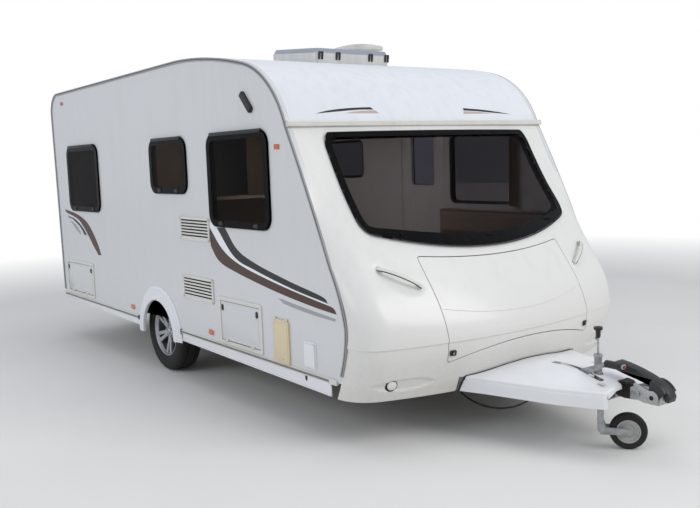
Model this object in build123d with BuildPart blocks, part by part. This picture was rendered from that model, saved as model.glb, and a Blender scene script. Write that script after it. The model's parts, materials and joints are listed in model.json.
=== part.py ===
"""Single-axle travel caravan on its two road wheels and its jockey wheel.

Millimetres. X forward to the hitch, Y to the nearside (door side), Z up; the origin is on the
ground, midway between the tail and the coupling tip. Side views are drawn flat, across for X and
up for Z, and front views across for Y and up for Z.
"""
from build123d import *
from math import atan2, cos, degrees, hypot, radians, sin, tan
import os

os.makedirs("parts", exist_ok=True)

# Body shell
BODY_HALF = 1090            # centre line to the outer face of a side wall
WALL = 30                   # sandwich walls, roof and end mouldings
REAR_FOOT = (-2862, 408)    # x and z of the side wall's rear foot
REAR_TOP = (-2909, 2300)
REAR_TOP_RADIUS = 190
ROOF_CROWN = (-300, 2326)
ROOF_SHOULDER = (722, 2220)
ROOF_RISE = (ROOF_CROWN[1] - REAR_TOP[1]) / (ROOF_CROWN[0] - REAR_TOP[0])
REAR_BULGE = 70.7            # the tail moulding bows out this far at mid width
REAR_SEAM_X = -2640         # the roof sheet meets the tail moulding here
TAIL_STEPS = 8
FLOOR_UNDER = 410
FLOOR_THICK = 44
FLOOR_TOP = FLOOR_UNDER + FLOOR_THICK
INNER_HALF = BODY_HALF - WALL

# Front moulding: height, x at the side walls, x at the corner bend, x at mid width
FRONT_STATIONS = (
    (1811, 1188, 1190, 1198),
    (1420, 1389, 1402, 1470),
    (1180, 1505, 1572, 1662),
    (1011, 1579, 1688, 1798),
    (757, 1693, 1858, 1974),
    (575, 1699, 1895, 2046),
    (364, 1629, 1840, 2005),
    (270, 1588, 1798, 1970),
)
FRONT_HEIGHTS = (1811, 1713, 1615, 1517, 1420, 1340, 1260, 1180, 1124, 1067, 1011, 960, 909, 858, 808, 757,
                 712, 666, 620, 575, 533, 490, 448, 406, 364, 317, 270)
CORNER_Y = BODY_HALF - 140  # half width of the gently bowed middle
CHORD_DEPTH = 60            # the moulding's flange runs back this far past the wall's front edge
FRONT_TOP = FRONT_STATIONS[0][0]
FRONT_FOOT = FRONT_STATIONS[-1][0]

# Front window and gas locker lid, in front view
WINDOW_TOP = (BODY_HALF - 213, 1759)    # half width and height of the upper corners
WINDOW_FOOT = (BODY_HALF - 214, 1185)
WINDOW_SAG = 1052           # foot of the window at mid width
WINDOW_CORNER = 95
WINDOW_LAP = 26             # a pane laps this far over the edge of its hole
SEAL = 16                   # rubber seal round the hole
PANE = 14                   # a pane stands this far off the wall
LID_HALF = BODY_HALF - 488
LID_TOP = (1035, 1000)      # height at the ends and at mid width
LID_FOOT = (458, 536)
LID_THICK = 22
LAMP = (BODY_HALF - 180, 360, 32)       # y, z and radius of a front position lamp

# Side openings: x and z limits
OFFSIDE_WINDOWS = ((-2532, -1781, 1215, 1801), (-710, -108, 1394, 1797), (210, 980, 1184, 1799))
NEARSIDE_WINDOWS = ((-2532, -1781, 1215, 1801), (-1520, -820, 1394, 1797), (262, 980, 1184, 1799))
SIDE_WINDOW_CORNER = 88
DOOR = (-318, 232, 424, 2064)
DOOR_CORNER = 60
DOOR_WINDOW = (-212, 126, 1330, 1840)
SIDE_LOCKER = (260, 815, 392, 713)
REAR_LOCKER = (-2751, -2065, 430, 750)
BATTERY_BOX = (955, 1125, 385, 645)
LOCKER_RIM = 22
LOCKER_PROUD = 8
FRIDGE_VENTS = ((-261, 180, 1070, 1235), (-265, 192, 645, 815))
VENT_SLOTS = 6
SMALL_COVER = (1275, 1398, 405, 560)
SIDE_MARKERS = (            # side, x and z
    (-1, -1218, 461), (-1, 129, 443), (-1, -2589, 2198), (-1, 1077, 1689),
    (1, -1218, 461), (1, 330, 443), (1, -2589, 2198), (1, 1077, 1689),
)

# Running gear
AXLE_X = -775
TYRE_RADIUS = 307.5
TYRE_WIDTH = 185
TYRE_SHOULDER = 34
RIM_RADIUS = 190
WHEEL_Y = BODY_HALF - 143   # centre plane of a road wheel
BACKPLATE_Y = WHEEL_Y - 129
ARM_Y = WHEEL_Y - 257       # inner face of a trailing arm
SPOKE_PAIRS = 5
SPOKE_TURN = 60             # the first pair points this far up from forwards
SPOKE_SPLAY = 8.5           # each spoke of a pair is turned this far from its middle
ARCH_X = AXLE_X + 53
ARCH_FOOT = 292
SPAT_STEPS = ((380, 9), (347, 17), (314, 25))   # radius and stand-off of each ridge
SPAT_MOUTH = 272
WALL_ARCH = (AXLE_X + 30, 345)          # x and radius of the hole in the side wall
BOX_RADIUS = 372            # wheel box over the tyre
BOX_DEPTH = 255
BOX_WALL = 5

AXLE_TUBE = (AXLE_X + 165, 340, 48)

# Chassis
MEMBER_Y = BODY_HALF - 515  # outer face of a chassis member
MEMBER_DEPTH = 165
MEMBER_WIDTH = 45
MEMBER_ENDS = (-2760, 1660)
STEEL = 5
DRAWBAR_NOSE = (2640, 222)  # x and y of a drawbar's outer face at the nose
DRAWBAR_TOP = 352
DRAWBAR_DEPTH = 80
BAR_NOTCH = (MEMBER_Y - 122, 104)       # mid y and width of the notch in the moulding for a drawbar
SHAFT_Z = 330               # coupling shaft
SHAFT_RADIUS = 24
BALL = (2890, 25.3)         # x and radius of the ball socket
HEAD_FOOT = 299
COUPLING_TIP = 2975
HANDLE_PIVOT = (2890, 338)
JOCKEY = (2568, -62)        # x and y of the jockey tube
JOCKEY_TURN = 37            # the castor stands turned this far to the nearside
JOCKEY_TRAIL = 154
JOCKEY_RADIUS = 100
JOCKEY_WIDTH = 50
TUBE_RADIUS = 21
LEVER_Y = -114
LEVER_PIVOT = (2470, 398)
STEADIES = ((-2150, -1), (1010, 1))     # x of the pivot, and the way its arm points when stowed
STEADY_Y = MEMBER_Y + 125
STEADY_LENGTH = 470

# Hinges on the doors and lockers
KNUCKLE = 4.5
PIN = 2.2
DOOR_KNUCKLE = 6
DOOR_HINGES = (620, 1180, 1830)     # heights of the entry door's hinges
DOOR_FRAME = 8                      # the frame lines the hole this thick
DOOR_FLANGE = 18
DOOR_PROUD = 4

# Running clearances
GAP = 5
SEAT = 0.3


def save(builder, name):
    builder.part.label = name
    export_step(builder.part, "parts/" + name + ".step")


def at_y(y):
    """Side-view plane at this y; extruding from it goes towards the offside."""
    return Plane.XZ.offset(-y)


def front_at(height):
    """Side, corner and mid x of the front moulding at this height, on a smooth curve."""
    rows = FRONT_STATIONS
    index = max(i for i in range(len(rows) - 1) if rows[i][0] >= height)
    low, high = rows[index + 1], rows[index]

    def slope(i, column):
        before, after = rows[max(i - 1, 0)], rows[min(i + 1, len(rows) - 1)]
        return (after[column] - before[column]) / (after[0] - before[0])

    span = high[0] - low[0]
    t = (height - low[0]) / span
    return [
        low[c] * (1 + 2 * t) * (1 - t) ** 2 + high[c] * t * t * (3 - 2 * t)
        + span * (slope(index + 1, c) * t * (1 - t) ** 2 + slope(index, c) * t * t * (t - 1))
        for c in (1, 2, 3)
    ]


def foot_z(x):
    """Height of the side wall's foot, which rises towards the tail."""
    front_x, front_z = FRONT_STATIONS[-2][1], FRONT_STATIONS[-2][0]
    return REAR_FOOT[1] + (x - REAR_FOOT[0]) * (front_z - REAR_FOOT[1]) / (front_x - REAR_FOOT[0])


def skirt_z(x):
    """Height of the skirt's lower edge, which rises towards the tail."""
    return 271 + (1583 - x) * 0.0205


def centre(limits):
    return (limits[0] + limits[1]) / 2, (limits[2] + limits[3]) / 2


def size(limits, inset):
    return limits[1] - limits[0] - 2 * inset, limits[3] - limits[2] - 2 * inset


# Side profile of the cabin
with BuildSketch() as cabin_side:
    with BuildLine():
        foot_point, low_point, nose_point, high_point, pillar_point, shin_point, strip_point = [
            (front_at(height)[0], height) for height in (364, 510, 676, 855, 1011, 1420, 1811)]
        Line(REAR_FOOT, REAR_TOP)
        top = Line(REAR_TOP, ROOF_CROWN)
        crown = TangentArc(ROOF_CROWN, ROOF_SHOULDER, tangent=top % 1)
        TangentArc(ROOF_SHOULDER, strip_point, tangent=crown % 1)
        ThreePointArc(strip_point, shin_point, pillar_point)
        ThreePointArc(pillar_point, high_point, nose_point)
        ThreePointArc(nose_point, low_point, foot_point)
        Line(foot_point, REAR_FOOT)
    make_face()
    fillet(cabin_side.vertices().sort_by_distance((*REAR_TOP, 0))[0], REAR_TOP_RADIUS)
SIDE = cabin_side.sketch


def front_body(grow):
    """Solid under the front moulding's outer face, moved out by grow."""
    half, knee = BODY_HALF + grow, CORNER_Y + grow * 0.6
    with BuildPart() as body:
        for height in FRONT_HEIGHTS:
            side_x, knee_x, mid_x = front_at(height)
            with BuildSketch(Plane.XY.offset(height)):
                with BuildLine():
                    bow = ThreePointArc((knee_x + grow, -knee), (mid_x + grow, 0), (knee_x + grow, knee))
                    TangentArc((knee_x + grow, knee), (side_x, half), tangent=bow % 1)
                    Polyline((side_x, half), (side_x - CHORD_DEPTH, half),
                             (side_x - CHORD_DEPTH, -half), (side_x, -half))
                    TangentArc((knee_x + grow, -knee), (side_x, -half), tangent=(bow % 0) * -1)
                make_face()
        loft(ruled=True)
    return body.part


def front_patch(outline, proud, deep):
    """Slab of the front moulding inside a front-view outline, from proud of its face to deep."""
    with BuildPart() as patch:
        with BuildSketch(Plane.YZ.offset(900)):
            add(outline)
        extrude(amount=1400)
        add(front_body(proud), mode=Mode.INTERSECT)
        add(front_body(-deep), mode=Mode.SUBTRACT)
    return patch.part


def front_outline(top_half, top, top_mid, foot_half, foot, foot_mid, radius):
    """Front-view outline with upright sides and a bowed top and foot."""
    with BuildSketch() as outline:
        with BuildLine():
            ThreePointArc((-top_half, top), (0, top_mid), (top_half, top))
            Line((top_half, top), (foot_half, foot))
            ThreePointArc((foot_half, foot), (0, foot_mid), (-foot_half, foot))
            Line((-foot_half, foot), (-top_half, top))
        make_face()
        fillet(outline.vertices(), radius)
    return outline.sketch


def window_outline(inset):
    return front_outline(WINDOW_TOP[0] - inset, WINDOW_TOP[1] - inset, WINDOW_TOP[1] + 4 - inset,
                         WINDOW_FOOT[0] - inset, WINDOW_FOOT[1] + inset, WINDOW_SAG + inset,
                         WINDOW_CORNER - inset)


def lid_outline(inset):
    return front_outline(LID_HALF - inset, LID_TOP[0] - inset, LID_TOP[1] - inset,
                         LID_HALF - inset, LID_FOOT[0] + inset, LID_FOOT[1] + inset, 18)


FRONT_OUTER = front_body(0)
FRONT_INNER = front_body(-WALL)
LID_SLOPE = atan2(30, front_at(LID_TOP[1] + 30)[2] - front_at(LID_TOP[1])[2])
LID_HINGES = ((-150, -112), (-111, -72), (72, 111), (112, 150))     # y limits, the lid's in the middle


def lid_point(out, up):
    """Side-view point this far out from the moulding's face and up it from the lid's top edge."""
    return (front_at(LID_TOP[1])[2] + out * sin(LID_SLOPE) + up * cos(LID_SLOPE),
            LID_TOP[1] - out * cos(LID_SLOPE) + up * sin(LID_SLOPE))


def lid_knuckle(y0, y1, way):
    """Hinge knuckle from y0 to y1 with a leg down to the lid (way -1) or the panel (way 1)."""
    with BuildPart() as knuckle:
        with BuildSketch(at_y(y1)):
            with Locations(lid_point(KNUCKLE, GAP / 2)):
                Circle(KNUCKLE)
            with BuildLine():
                Polyline(lid_point(-7, GAP / 2 + way * 11), lid_point(-7, GAP / 2 + way * 18),
                         lid_point(KNUCKLE, GAP / 2 + way * 14), lid_point(2 * KNUCKLE, GAP / 2),
                         lid_point(1, GAP / 2), lid_point(1, GAP / 2 + way * 6), close=True)
            make_face()
            with Locations(lid_point(KNUCKLE, GAP / 2)):
                Circle(PIN + SEAT if way < 0 else PIN / 2, mode=Mode.SUBTRACT)
        extrude(amount=y1 - y0)
    return knuckle.part


def lid_pin(y0, y1):
    with BuildPart() as pin:
        with BuildSketch(at_y(y1)):
            with Locations(lid_point(KNUCKLE, GAP / 2)):
                Circle(PIN)
        extrude(amount=y1 - y0)
    return pin.part


with BuildSketch() as lamp_faces:
    with Locations((-LAMP[0], LAMP[1]), (LAMP[0], LAMP[1])):
        Circle(LAMP[2])

with BuildPart() as front_panel:
    add(FRONT_OUTER)
    add(FRONT_INNER, mode=Mode.SUBTRACT)
    for side in (-1, 1):
        with BuildSketch(at_y(side * INNER_HALF)):
            add(SIDE)
        extrude(amount=-side * 3 * WALL, mode=Mode.SUBTRACT)
    with BuildSketch(Plane.YZ.offset(900)):
        add(window_outline(WINDOW_LAP))
        add(lid_outline(-GAP))
        add(lamp_faces.sketch)
        for side in (-1, 1):
            with Locations((side * BAR_NOTCH[0], FRONT_FOOT)):
                Rectangle(BAR_NOTCH[1], 2 * (DRAWBAR_TOP + 3 - FRONT_FOOT))
    extrude(amount=1400, mode=Mode.SUBTRACT)
    for y0, y1 in (LID_HINGES[0], LID_HINGES[3]):
        add(lid_knuckle(y0, y1, 1))
    for y0, y1 in ((LID_HINGES[0][0], LID_HINGES[1][1]), (LID_HINGES[2][0], LID_HINGES[3][1])):
        add(lid_pin(y0, y1))
save(front_panel, "front_panel")

with BuildPart() as front_window_frame:
    add(front_patch(window_outline(WINDOW_LAP), 0, WALL))
    with BuildSketch(Plane.YZ.offset(900)):
        add(window_outline(WINDOW_LAP + SEAL))
    extrude(amount=1400, mode=Mode.SUBTRACT)
save(front_window_frame, "front_window_frame")

with BuildPart() as front_window:
    add(front_patch(window_outline(0), PANE, 0))
save(front_window, "front_window")

with BuildPart() as front_lamps:
    add(front_patch(lamp_faces.sketch, 4, LID_THICK))
save(front_lamps, "front_lamps")

with BuildPart() as gas_locker_lid:
    add(front_patch(lid_outline(0), 0, LID_THICK))
    for y0, y1 in (LID_HINGES[1], LID_HINGES[2]):
        add(lid_knuckle(y0, y1, -1))
save(gas_locker_lid, "gas_locker_lid")

# Side walls, each cut for its windows, lockers or door
WALLS = (("offside_wall", -1, OFFSIDE_WINDOWS), ("nearside_wall", 1, NEARSIDE_WINDOWS))
for name, side, windows in WALLS:
    with BuildPart() as wall:
        with BuildSketch(at_y(side * BODY_HALF)):
            add(SIDE)
            with Locations((WALL_ARCH[0], ARCH_FOOT + 8)):
                Circle(WALL_ARCH[1], mode=Mode.SUBTRACT)
            for window in windows:
                with Locations(centre(window)):
                    RectangleRounded(*size(window, WINDOW_LAP), SIDE_WINDOW_CORNER - WINDOW_LAP,
                                     mode=Mode.SUBTRACT)
            if name == "offside_wall":
                for locker in (SIDE_LOCKER, REAR_LOCKER, BATTERY_BOX):
                    with Locations(centre(locker)):
                        Rectangle(*size(locker, LOCKER_RIM), mode=Mode.SUBTRACT)
            else:
                with Locations(centre(DOOR)):
                    RectangleRounded(*size(DOOR, 0), DOOR_CORNER, mode=Mode.SUBTRACT)
        extrude(amount=side * WALL)
    save(wall, name)

with BuildPart() as window_frames:
    for name, side, windows in WALLS:
        with BuildSketch(at_y(side * BODY_HALF)):
            for window in windows:
                with Locations(centre(window)):
                    RectangleRounded(*size(window, WINDOW_LAP), SIDE_WINDOW_CORNER - WINDOW_LAP)
                    RectangleRounded(*size(window, WINDOW_LAP + SEAL), SIDE_WINDOW_CORNER - WINDOW_LAP - SEAL,
                                     mode=Mode.SUBTRACT)
        extrude(amount=side * WALL)
save(window_frames, "window_frames")

with BuildPart() as window_panes:
    for name, side, windows in WALLS:
        with BuildSketch(at_y(side * BODY_HALF)):
            for window in windows:
                with Locations(centre(window)):
                    RectangleRounded(*size(window, 0), SIDE_WINDOW_CORNER)
        extrude(amount=-side * PANE)
save(window_panes, "window_panes")

# Roof light, on a plane that follows the falling roof
LIGHT_X = (-150, 435)
LIGHT_WIDE = 670
LIGHT_RIM = 55
LIGHT_RISE = 70             # height of the frame's upright face
LIGHT_FALL = 5.1            # degrees
LIGHT_FOOT = ROOF_CROWN[1] - 27
LIGHT_LONG = (LIGHT_X[1] - LIGHT_X[0]) / cos(radians(LIGHT_FALL))
LIGHT_PLANE = Plane(origin=((LIGHT_X[0] + LIGHT_X[1]) / 2, 0, LIGHT_FOOT),
                    x_dir=(cos(radians(LIGHT_FALL)), 0, -sin(radians(LIGHT_FALL))),
                    z_dir=(sin(radians(LIGHT_FALL)), 0, cos(radians(LIGHT_FALL))))
LIGHT_BRACKETS = (-297, -147, 147, 297)
BRACKET_WIDTH = 38

# Roof sheet, tail moulding and floor
with BuildPart() as roof:
    with BuildSketch(at_y(0)):
        add(SIDE)
        offset(SIDE, amount=-WALL, mode=Mode.SUBTRACT)
        with BuildLine():
            Polyline((REAR_SEAM_X, FRONT_TOP), (1400, FRONT_TOP), (1400, 2500),
                     (REAR_SEAM_X, 2500), close=True)
        make_face(mode=Mode.INTERSECT)
    extrude(amount=INNER_HALF, both=True)
    with BuildSketch(LIGHT_PLANE.offset(-200)):
        Rectangle(LIGHT_LONG - 2 * LIGHT_RIM, LIGHT_WIDE - 2 * LIGHT_RIM)
    extrude(amount=400, mode=Mode.SUBTRACT)
save(roof, "roof")

REAR_LEAN = (REAR_TOP[0] - REAR_FOOT[0]) / (REAR_TOP[1] - REAR_FOOT[1])


def rear_x(height):
    return REAR_FOOT[0] + (height - REAR_FOOT[1]) * REAR_LEAN


def tail_section(y, thick, foot, head, out):
    """Side-view strip of the tail moulding at y, out from its face by out and thick inwards."""
    bow = REAR_BULGE * (1 - (y / INNER_HALF) ** 2) + out
    inner = bow - thick
    with BuildSketch(at_y(y)) as section:
        with BuildLine():
            if head > REAR_TOP[1] - REAR_TOP_RADIUS:
                low = REAR_TOP[1] - REAR_TOP_RADIUS
                x, mid = rear_x(low), REAR_TOP_RADIUS * (1 - sin(radians(45)))
                top = REAR_TOP[1] + (REAR_SEAM_X - REAR_TOP[0]) * ROOF_RISE
                shoulder = REAR_TOP[1] + (REAR_TOP_RADIUS - bow) * ROOF_RISE
                Line((rear_x(foot) - bow, foot), (x - bow, low))
                ThreePointArc((x - bow, low), (x - bow + mid, shoulder - mid),
                              (x - bow + REAR_TOP_RADIUS, shoulder))
                Polyline((x - bow + REAR_TOP_RADIUS, shoulder), (REAR_SEAM_X, top),
                         (REAR_SEAM_X, top - thick),
                         (x - bow + REAR_TOP_RADIUS, shoulder - thick))
                inner_mid = thick + (REAR_TOP_RADIUS - thick) * (1 - sin(radians(45)))
                ThreePointArc((x - bow + REAR_TOP_RADIUS, shoulder - thick),
                              (x - bow + inner_mid, shoulder - inner_mid), (x - inner, low))
                Polyline((x - inner, low), (rear_x(foot) - inner, foot), (rear_x(foot) - bow, foot))
            else:
                Polyline((rear_x(foot) - bow, foot), (rear_x(head) - bow, head), (rear_x(head) - inner, head),
                         (rear_x(foot) - inner, foot), close=True)
        make_face()
    return section.sketch


def tail_slab(y0, y1, thick, foot, head, out=0):
    """Bowed slab of the tail from y0 to y1."""
    with BuildPart() as slab:
        for step in range(TAIL_STEPS + 1):
            add(tail_section(y0 + (y1 - y0) * step / TAIL_STEPS, thick, foot, head, out))
        loft(ruled=True)
    return slab.part


with BuildPart() as rear_panel:
    add(tail_slab(-INNER_HALF, INNER_HALF, WALL, REAR_FOOT[1], REAR_TOP[1]))
save(rear_panel, "rear_panel")

with BuildPart() as floor:
    add(front_body(-WALL))
    with BuildSketch(Plane.XY.offset(FLOOR_UNDER)):
        with Locations((1350, 0)):
            Rectangle(1400, 2 * INNER_HALF)
    extrude(amount=FLOOR_THICK, mode=Mode.INTERSECT)
    front = front_at(FLOOR_TOP)[0] - CHORD_DEPTH + 20
    rear = rear_x(FLOOR_UNDER) + WALL
    with BuildSketch(Plane.XY.offset(FLOOR_UNDER)):
        with BuildLine():
            nodes = [INNER_HALF * (2 * step / TAIL_STEPS - 1) for step in range(TAIL_STEPS + 1)]
            bulged = [(rear - REAR_BULGE * (1 - (y / INNER_HALF) ** 2), y) for y in nodes]
            Polyline((front, -INNER_HALF), *bulged,
                     (front, INNER_HALF), close=True)
        make_face()
        with Locations(*[(WALL_ARCH[0], side * (INNER_HALF - BOX_DEPTH / 2)) for side in (-1, 1)]):
            Rectangle(2 * BOX_RADIUS, BOX_DEPTH, mode=Mode.SUBTRACT)
    extrude(amount=FLOOR_THICK)
save(floor, "floor")

with BuildPart() as front_bulkhead:
    shelf, back = 1052, 1452
    with BuildSketch(Plane.XY.offset(shelf)):
        with Locations(((back + 2000) / 2, 0)):
            Rectangle(2000 - back, 2 * INNER_HALF)
    extrude(amount=15)
    add(front_body(-WALL), mode=Mode.INTERSECT)
    side_x = front_at(shelf)[0]
    with BuildSketch(Plane.XY.offset(shelf)):
        with Locations(((back + side_x - 40) / 2, 0)):
            Rectangle(side_x - 40 - back, 2 * INNER_HALF)
    extrude(amount=15)
    with BuildSketch(Plane.XY.offset(FLOOR_TOP)):
        with Locations((back + 7.5, 0)):
            Rectangle(15, 2 * INNER_HALF)
    extrude(amount=shelf - FLOOR_TOP)
save(front_bulkhead, "front_bulkhead")

# Wheel boxes inside the cabin, open below
with BuildPart() as wheel_boxes:
    for side in (-1, 1):
        with BuildSketch(at_y(side * INNER_HALF)):
            with Locations((WALL_ARCH[0], ARCH_FOOT + 8)):
                Circle(BOX_RADIUS)
            with Locations((WALL_ARCH[0], FLOOR_UNDER + 500)):
                Rectangle(2000, 1000, mode=Mode.INTERSECT)
        extrude(amount=side * BOX_DEPTH)
        with BuildSketch(at_y(side * INNER_HALF)):
            with Locations((WALL_ARCH[0], ARCH_FOOT + 8)):
                Circle(BOX_RADIUS - BOX_WALL)
            with Locations((WALL_ARCH[0], FLOOR_UNDER + 500)):
                Rectangle(2000, 1000, mode=Mode.INTERSECT)
        extrude(amount=side * (BOX_DEPTH - BOX_WALL), mode=Mode.SUBTRACT)
save(wheel_boxes, "wheel_boxes")

# Awning rails round the side walls, wheel spats, skirts
RAIL_WIDTH = 22
RAIL_PROUD = 8
with BuildPart() as edge_rails:
    for side in (-1, 1):
        with BuildSketch(at_y(side * BODY_HALF)):
            add(SIDE)
            offset(SIDE, amount=-RAIL_WIDTH, mode=Mode.SUBTRACT)
            with BuildLine():
                Polyline((-3100, REAR_FOOT[1] + 40), (1900, FRONT_STATIONS[-2][0] + 40),
                         (1900, 2500), (-3100, 2500),
                         close=True)
            make_face(mode=Mode.INTERSECT)
        extrude(amount=-side * RAIL_PROUD)
save(edge_rails, "edge_rails")

with BuildPart() as wheel_spats:
    for side in (-1, 1):
        for radius, proud in SPAT_STEPS:
            with BuildSketch(at_y(side * BODY_HALF)):
                with Locations((ARCH_X, ARCH_FOOT + 8)):
                    Circle(radius)
                    Circle(SPAT_MOUTH, mode=Mode.SUBTRACT)
                with Locations((ARCH_X, ARCH_FOOT + 500)):
                    Rectangle(2000, 1000, mode=Mode.INTERSECT)
            extrude(amount=-side * proud)
save(wheel_spats, "wheel_spats")

SKIRT_THICK = 8
TRIM_PROUD = 10
with BuildPart() as side_skirts:
    spat_reach = SPAT_STEPS[0][0]
    skirt_end = FRONT_STATIONS[-1][1] - CHORD_DEPTH - 2
    for side in (-1, 1):
        for x0, x1 in ((REAR_FOOT[0] + 6, ARCH_X - spat_reach - 1), (ARCH_X + spat_reach + 1, skirt_end)):
            with BuildSketch(at_y(side * (BODY_HALF - SKIRT_THICK - 2))):
                with BuildLine():
                    Polyline((x0, skirt_z(x0)), (x1, skirt_z(x1)), (x1, foot_z(x1)),
                             (x0, foot_z(x0)), close=True)
                make_face()
            extrude(amount=-side * SKIRT_THICK)
            with BuildSketch(at_y(side * (BODY_HALF - SKIRT_THICK - 2))):
                with BuildLine():
                    Polyline((x0, foot_z(x0) - 14), (x1, foot_z(x1) - 14), (x1, foot_z(x1)), (x0, foot_z(x0)),
                             close=True)
                make_face()
            extrude(amount=-side * (SKIRT_THICK + 2 + TRIM_PROUD))
            with BuildSketch(at_y(side * BODY_HALF)):
                with BuildLine():
                    Polyline((x0, foot_z(x0) - 14), (x1, foot_z(x1) - 14), (x1, foot_z(x1) + 12),
                             (x0, foot_z(x0) + 12), close=True)
                make_face()
            extrude(amount=-side * TRIM_PROUD)
save(side_skirts, "side_skirts")

# Fridge vents, front strip, small fittings on the shell
with BuildPart() as vents_and_cover:
    for vent in FRIDGE_VENTS:
        wide, tall = size(vent, 0)
        with BuildSketch(at_y(-BODY_HALF)):
            with Locations(centre(vent)):
                RectangleRounded(wide, tall, 8)
        extrude(amount=10)
        with BuildSketch(at_y(-BODY_HALF - 4)):
            with Locations(centre(vent)):
                with GridLocations(0, (tall - 20) / VENT_SLOTS, 1, VENT_SLOTS):
                    Rectangle(wide - 40, (tall - 20) / VENT_SLOTS * 0.4)
        extrude(amount=6, mode=Mode.SUBTRACT)
    with BuildSketch(at_y(-BODY_HALF)):
        with Locations(centre(SMALL_COVER)):
            RectangleRounded(*size(SMALL_COVER, 0), 8)
    extrude(amount=12)
save(vents_and_cover, "vents_and_cover")

with BuildPart() as front_strip:
    with BuildSketch(at_y(BODY_HALF + RAIL_PROUD)):
        with Locations((FRONT_STATIONS[0][1] + 17, FRONT_TOP + 6)):
            RectangleRounded(26, 34, 6)
    extrude(amount=2 * (BODY_HALF + RAIL_PROUD))
    add(FRONT_OUTER, mode=Mode.SUBTRACT)
    with BuildSketch(at_y(BODY_HALF + RAIL_PROUD)):
        add(SIDE)
    extrude(amount=2 * (BODY_HALF + RAIL_PROUD), mode=Mode.SUBTRACT)
save(front_strip, "front_strip")

HANDLE_INNER = (BODY_HALF - 421, 876)   # y and z of a grab handle's inner end
HANDLE_OUTER = (BODY_HALF - 208, 990)
HANDLE_OFF = 34
with BuildPart() as grab_handles:
    for side in (-1, 1):
        inner_x = front_at(HANDLE_INNER[1])[2] - 128 + HANDLE_OFF
        outer_x = front_at(HANDLE_OUTER[1])[1] + 27 + HANDLE_OFF
        inner = Vector(inner_x, side * HANDLE_INNER[0], HANDLE_INNER[1])
        outer = Vector(outer_x, side * HANDLE_OUTER[0], HANDLE_OUTER[1])
        length = (outer - inner).length
        with BuildSketch(Plane(origin=inner, z_dir=outer - inner)):
            Circle(10)
        extrude(amount=length)
        for end in (inner, outer):
            with BuildSketch(Plane(origin=end, z_dir=(-1, 0, 0))):
                Circle(9)
            extrude(amount=100)
    add(FRONT_OUTER, mode=Mode.SUBTRACT)
save(grab_handles, "grab_handles")

with BuildPart() as side_markers:
    for side, x, z in SIDE_MARKERS:
        with BuildSketch(at_y(side * BODY_HALF)):
            with Locations((x, z)):
                RectangleRounded(58, 36, 14)
        extrude(amount=-side * 9)
save(side_markers, "side_markers")

REAR_LAMP = (BODY_HALF - 265, BODY_HALF - 115, 610, 1030)
with BuildPart() as rear_lamps:
    add(tail_slab(REAR_LAMP[0], REAR_LAMP[1], 12, REAR_LAMP[2], REAR_LAMP[3], 12))
    add(tail_slab(-REAR_LAMP[1], -REAR_LAMP[0], 12, REAR_LAMP[2], REAR_LAMP[3], 12))
save(rear_lamps, "rear_lamps")

# Lockers: fixed rims, and leaves hinged on them
LEAF_FACE = -BODY_HALF - LOCKER_PROUD + 3
HINGE_Y = -BODY_HALF - LOCKER_PROUD - KNUCKLE
BATTERY_HINGE = (-BODY_HALF - KNUCKLE - 3.5, BATTERY_BOX[3] + GAP)     # y and z


def battery_lug(way):
    """Knuckle of the battery box hinge with a leg up to the wall (way 1) or down to the lid (way -1)."""
    y, z = BATTERY_HINGE
    with BuildSketch() as lug:
        with Locations((y, z)):
            Circle(KNUCKLE)
        with BuildLine():
            Polyline((y - KNUCKLE, z), (y - KNUCKLE, z + way * 10), (-BODY_HALF, z + way * 14),
                     (-BODY_HALF, z + way * 7), (y + KNUCKLE, z), close=True)
        make_face()
    return lug.sketch


with BuildPart() as locker_frames:
    for locker in (SIDE_LOCKER, REAR_LOCKER):
        with BuildSketch(at_y(-INNER_HALF)):
            with Locations(centre(locker)):
                Rectangle(*size(locker, LOCKER_RIM))
                Rectangle(*size(locker, LOCKER_RIM + 3), mode=Mode.SUBTRACT)
        extrude(amount=WALL)
        with BuildSketch(at_y(-BODY_HALF)):
            with Locations(centre(locker)):
                RectangleRounded(*size(locker, 0), 16)
                Rectangle(*size(locker, LOCKER_RIM + 3), mode=Mode.SUBTRACT)
        extrude(amount=LOCKER_PROUD)
    for locker in (SIDE_LOCKER, REAR_LOCKER):
        x_mid, hinge_z = centre(locker)[0], locker[2] + LOCKER_RIM + 3 + GAP / 2
        for x in (x_mid - 170, x_mid + 170):
            with BuildSketch(Plane.YZ.offset(x - 32)):
                with Locations((HINGE_Y, hinge_z)):
                    Circle(KNUCKLE)
                with BuildLine():
                    Polyline((HINGE_Y - KNUCKLE, hinge_z), (HINGE_Y, hinge_z - 12),
                             (LEAF_FACE + 1, hinge_z - 12), (LEAF_FACE + 1, hinge_z - 5),
                             (HINGE_Y + KNUCKLE, hinge_z), close=True)
                make_face()
            extrude(amount=20)
            with BuildSketch(Plane.YZ.offset(x - 32)):
                with Locations((HINGE_Y, hinge_z)):
                    Circle(PIN)
            extrude(amount=44)
    with BuildSketch(Plane.YZ.offset(BATTERY_BOX[0] + 14)):
        add(battery_lug(1))
    extrude(amount=18)
    with BuildSketch(Plane.YZ.offset(BATTERY_BOX[1] - 32)):
        add(battery_lug(1))
    extrude(amount=18)
    with BuildSketch(Plane.YZ.offset(BATTERY_BOX[0] + 14)):
        with Locations(BATTERY_HINGE):
            Circle(PIN)
    extrude(amount=BATTERY_BOX[1] - BATTERY_BOX[0] - 28)
save(locker_frames, "locker_frames")

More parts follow.
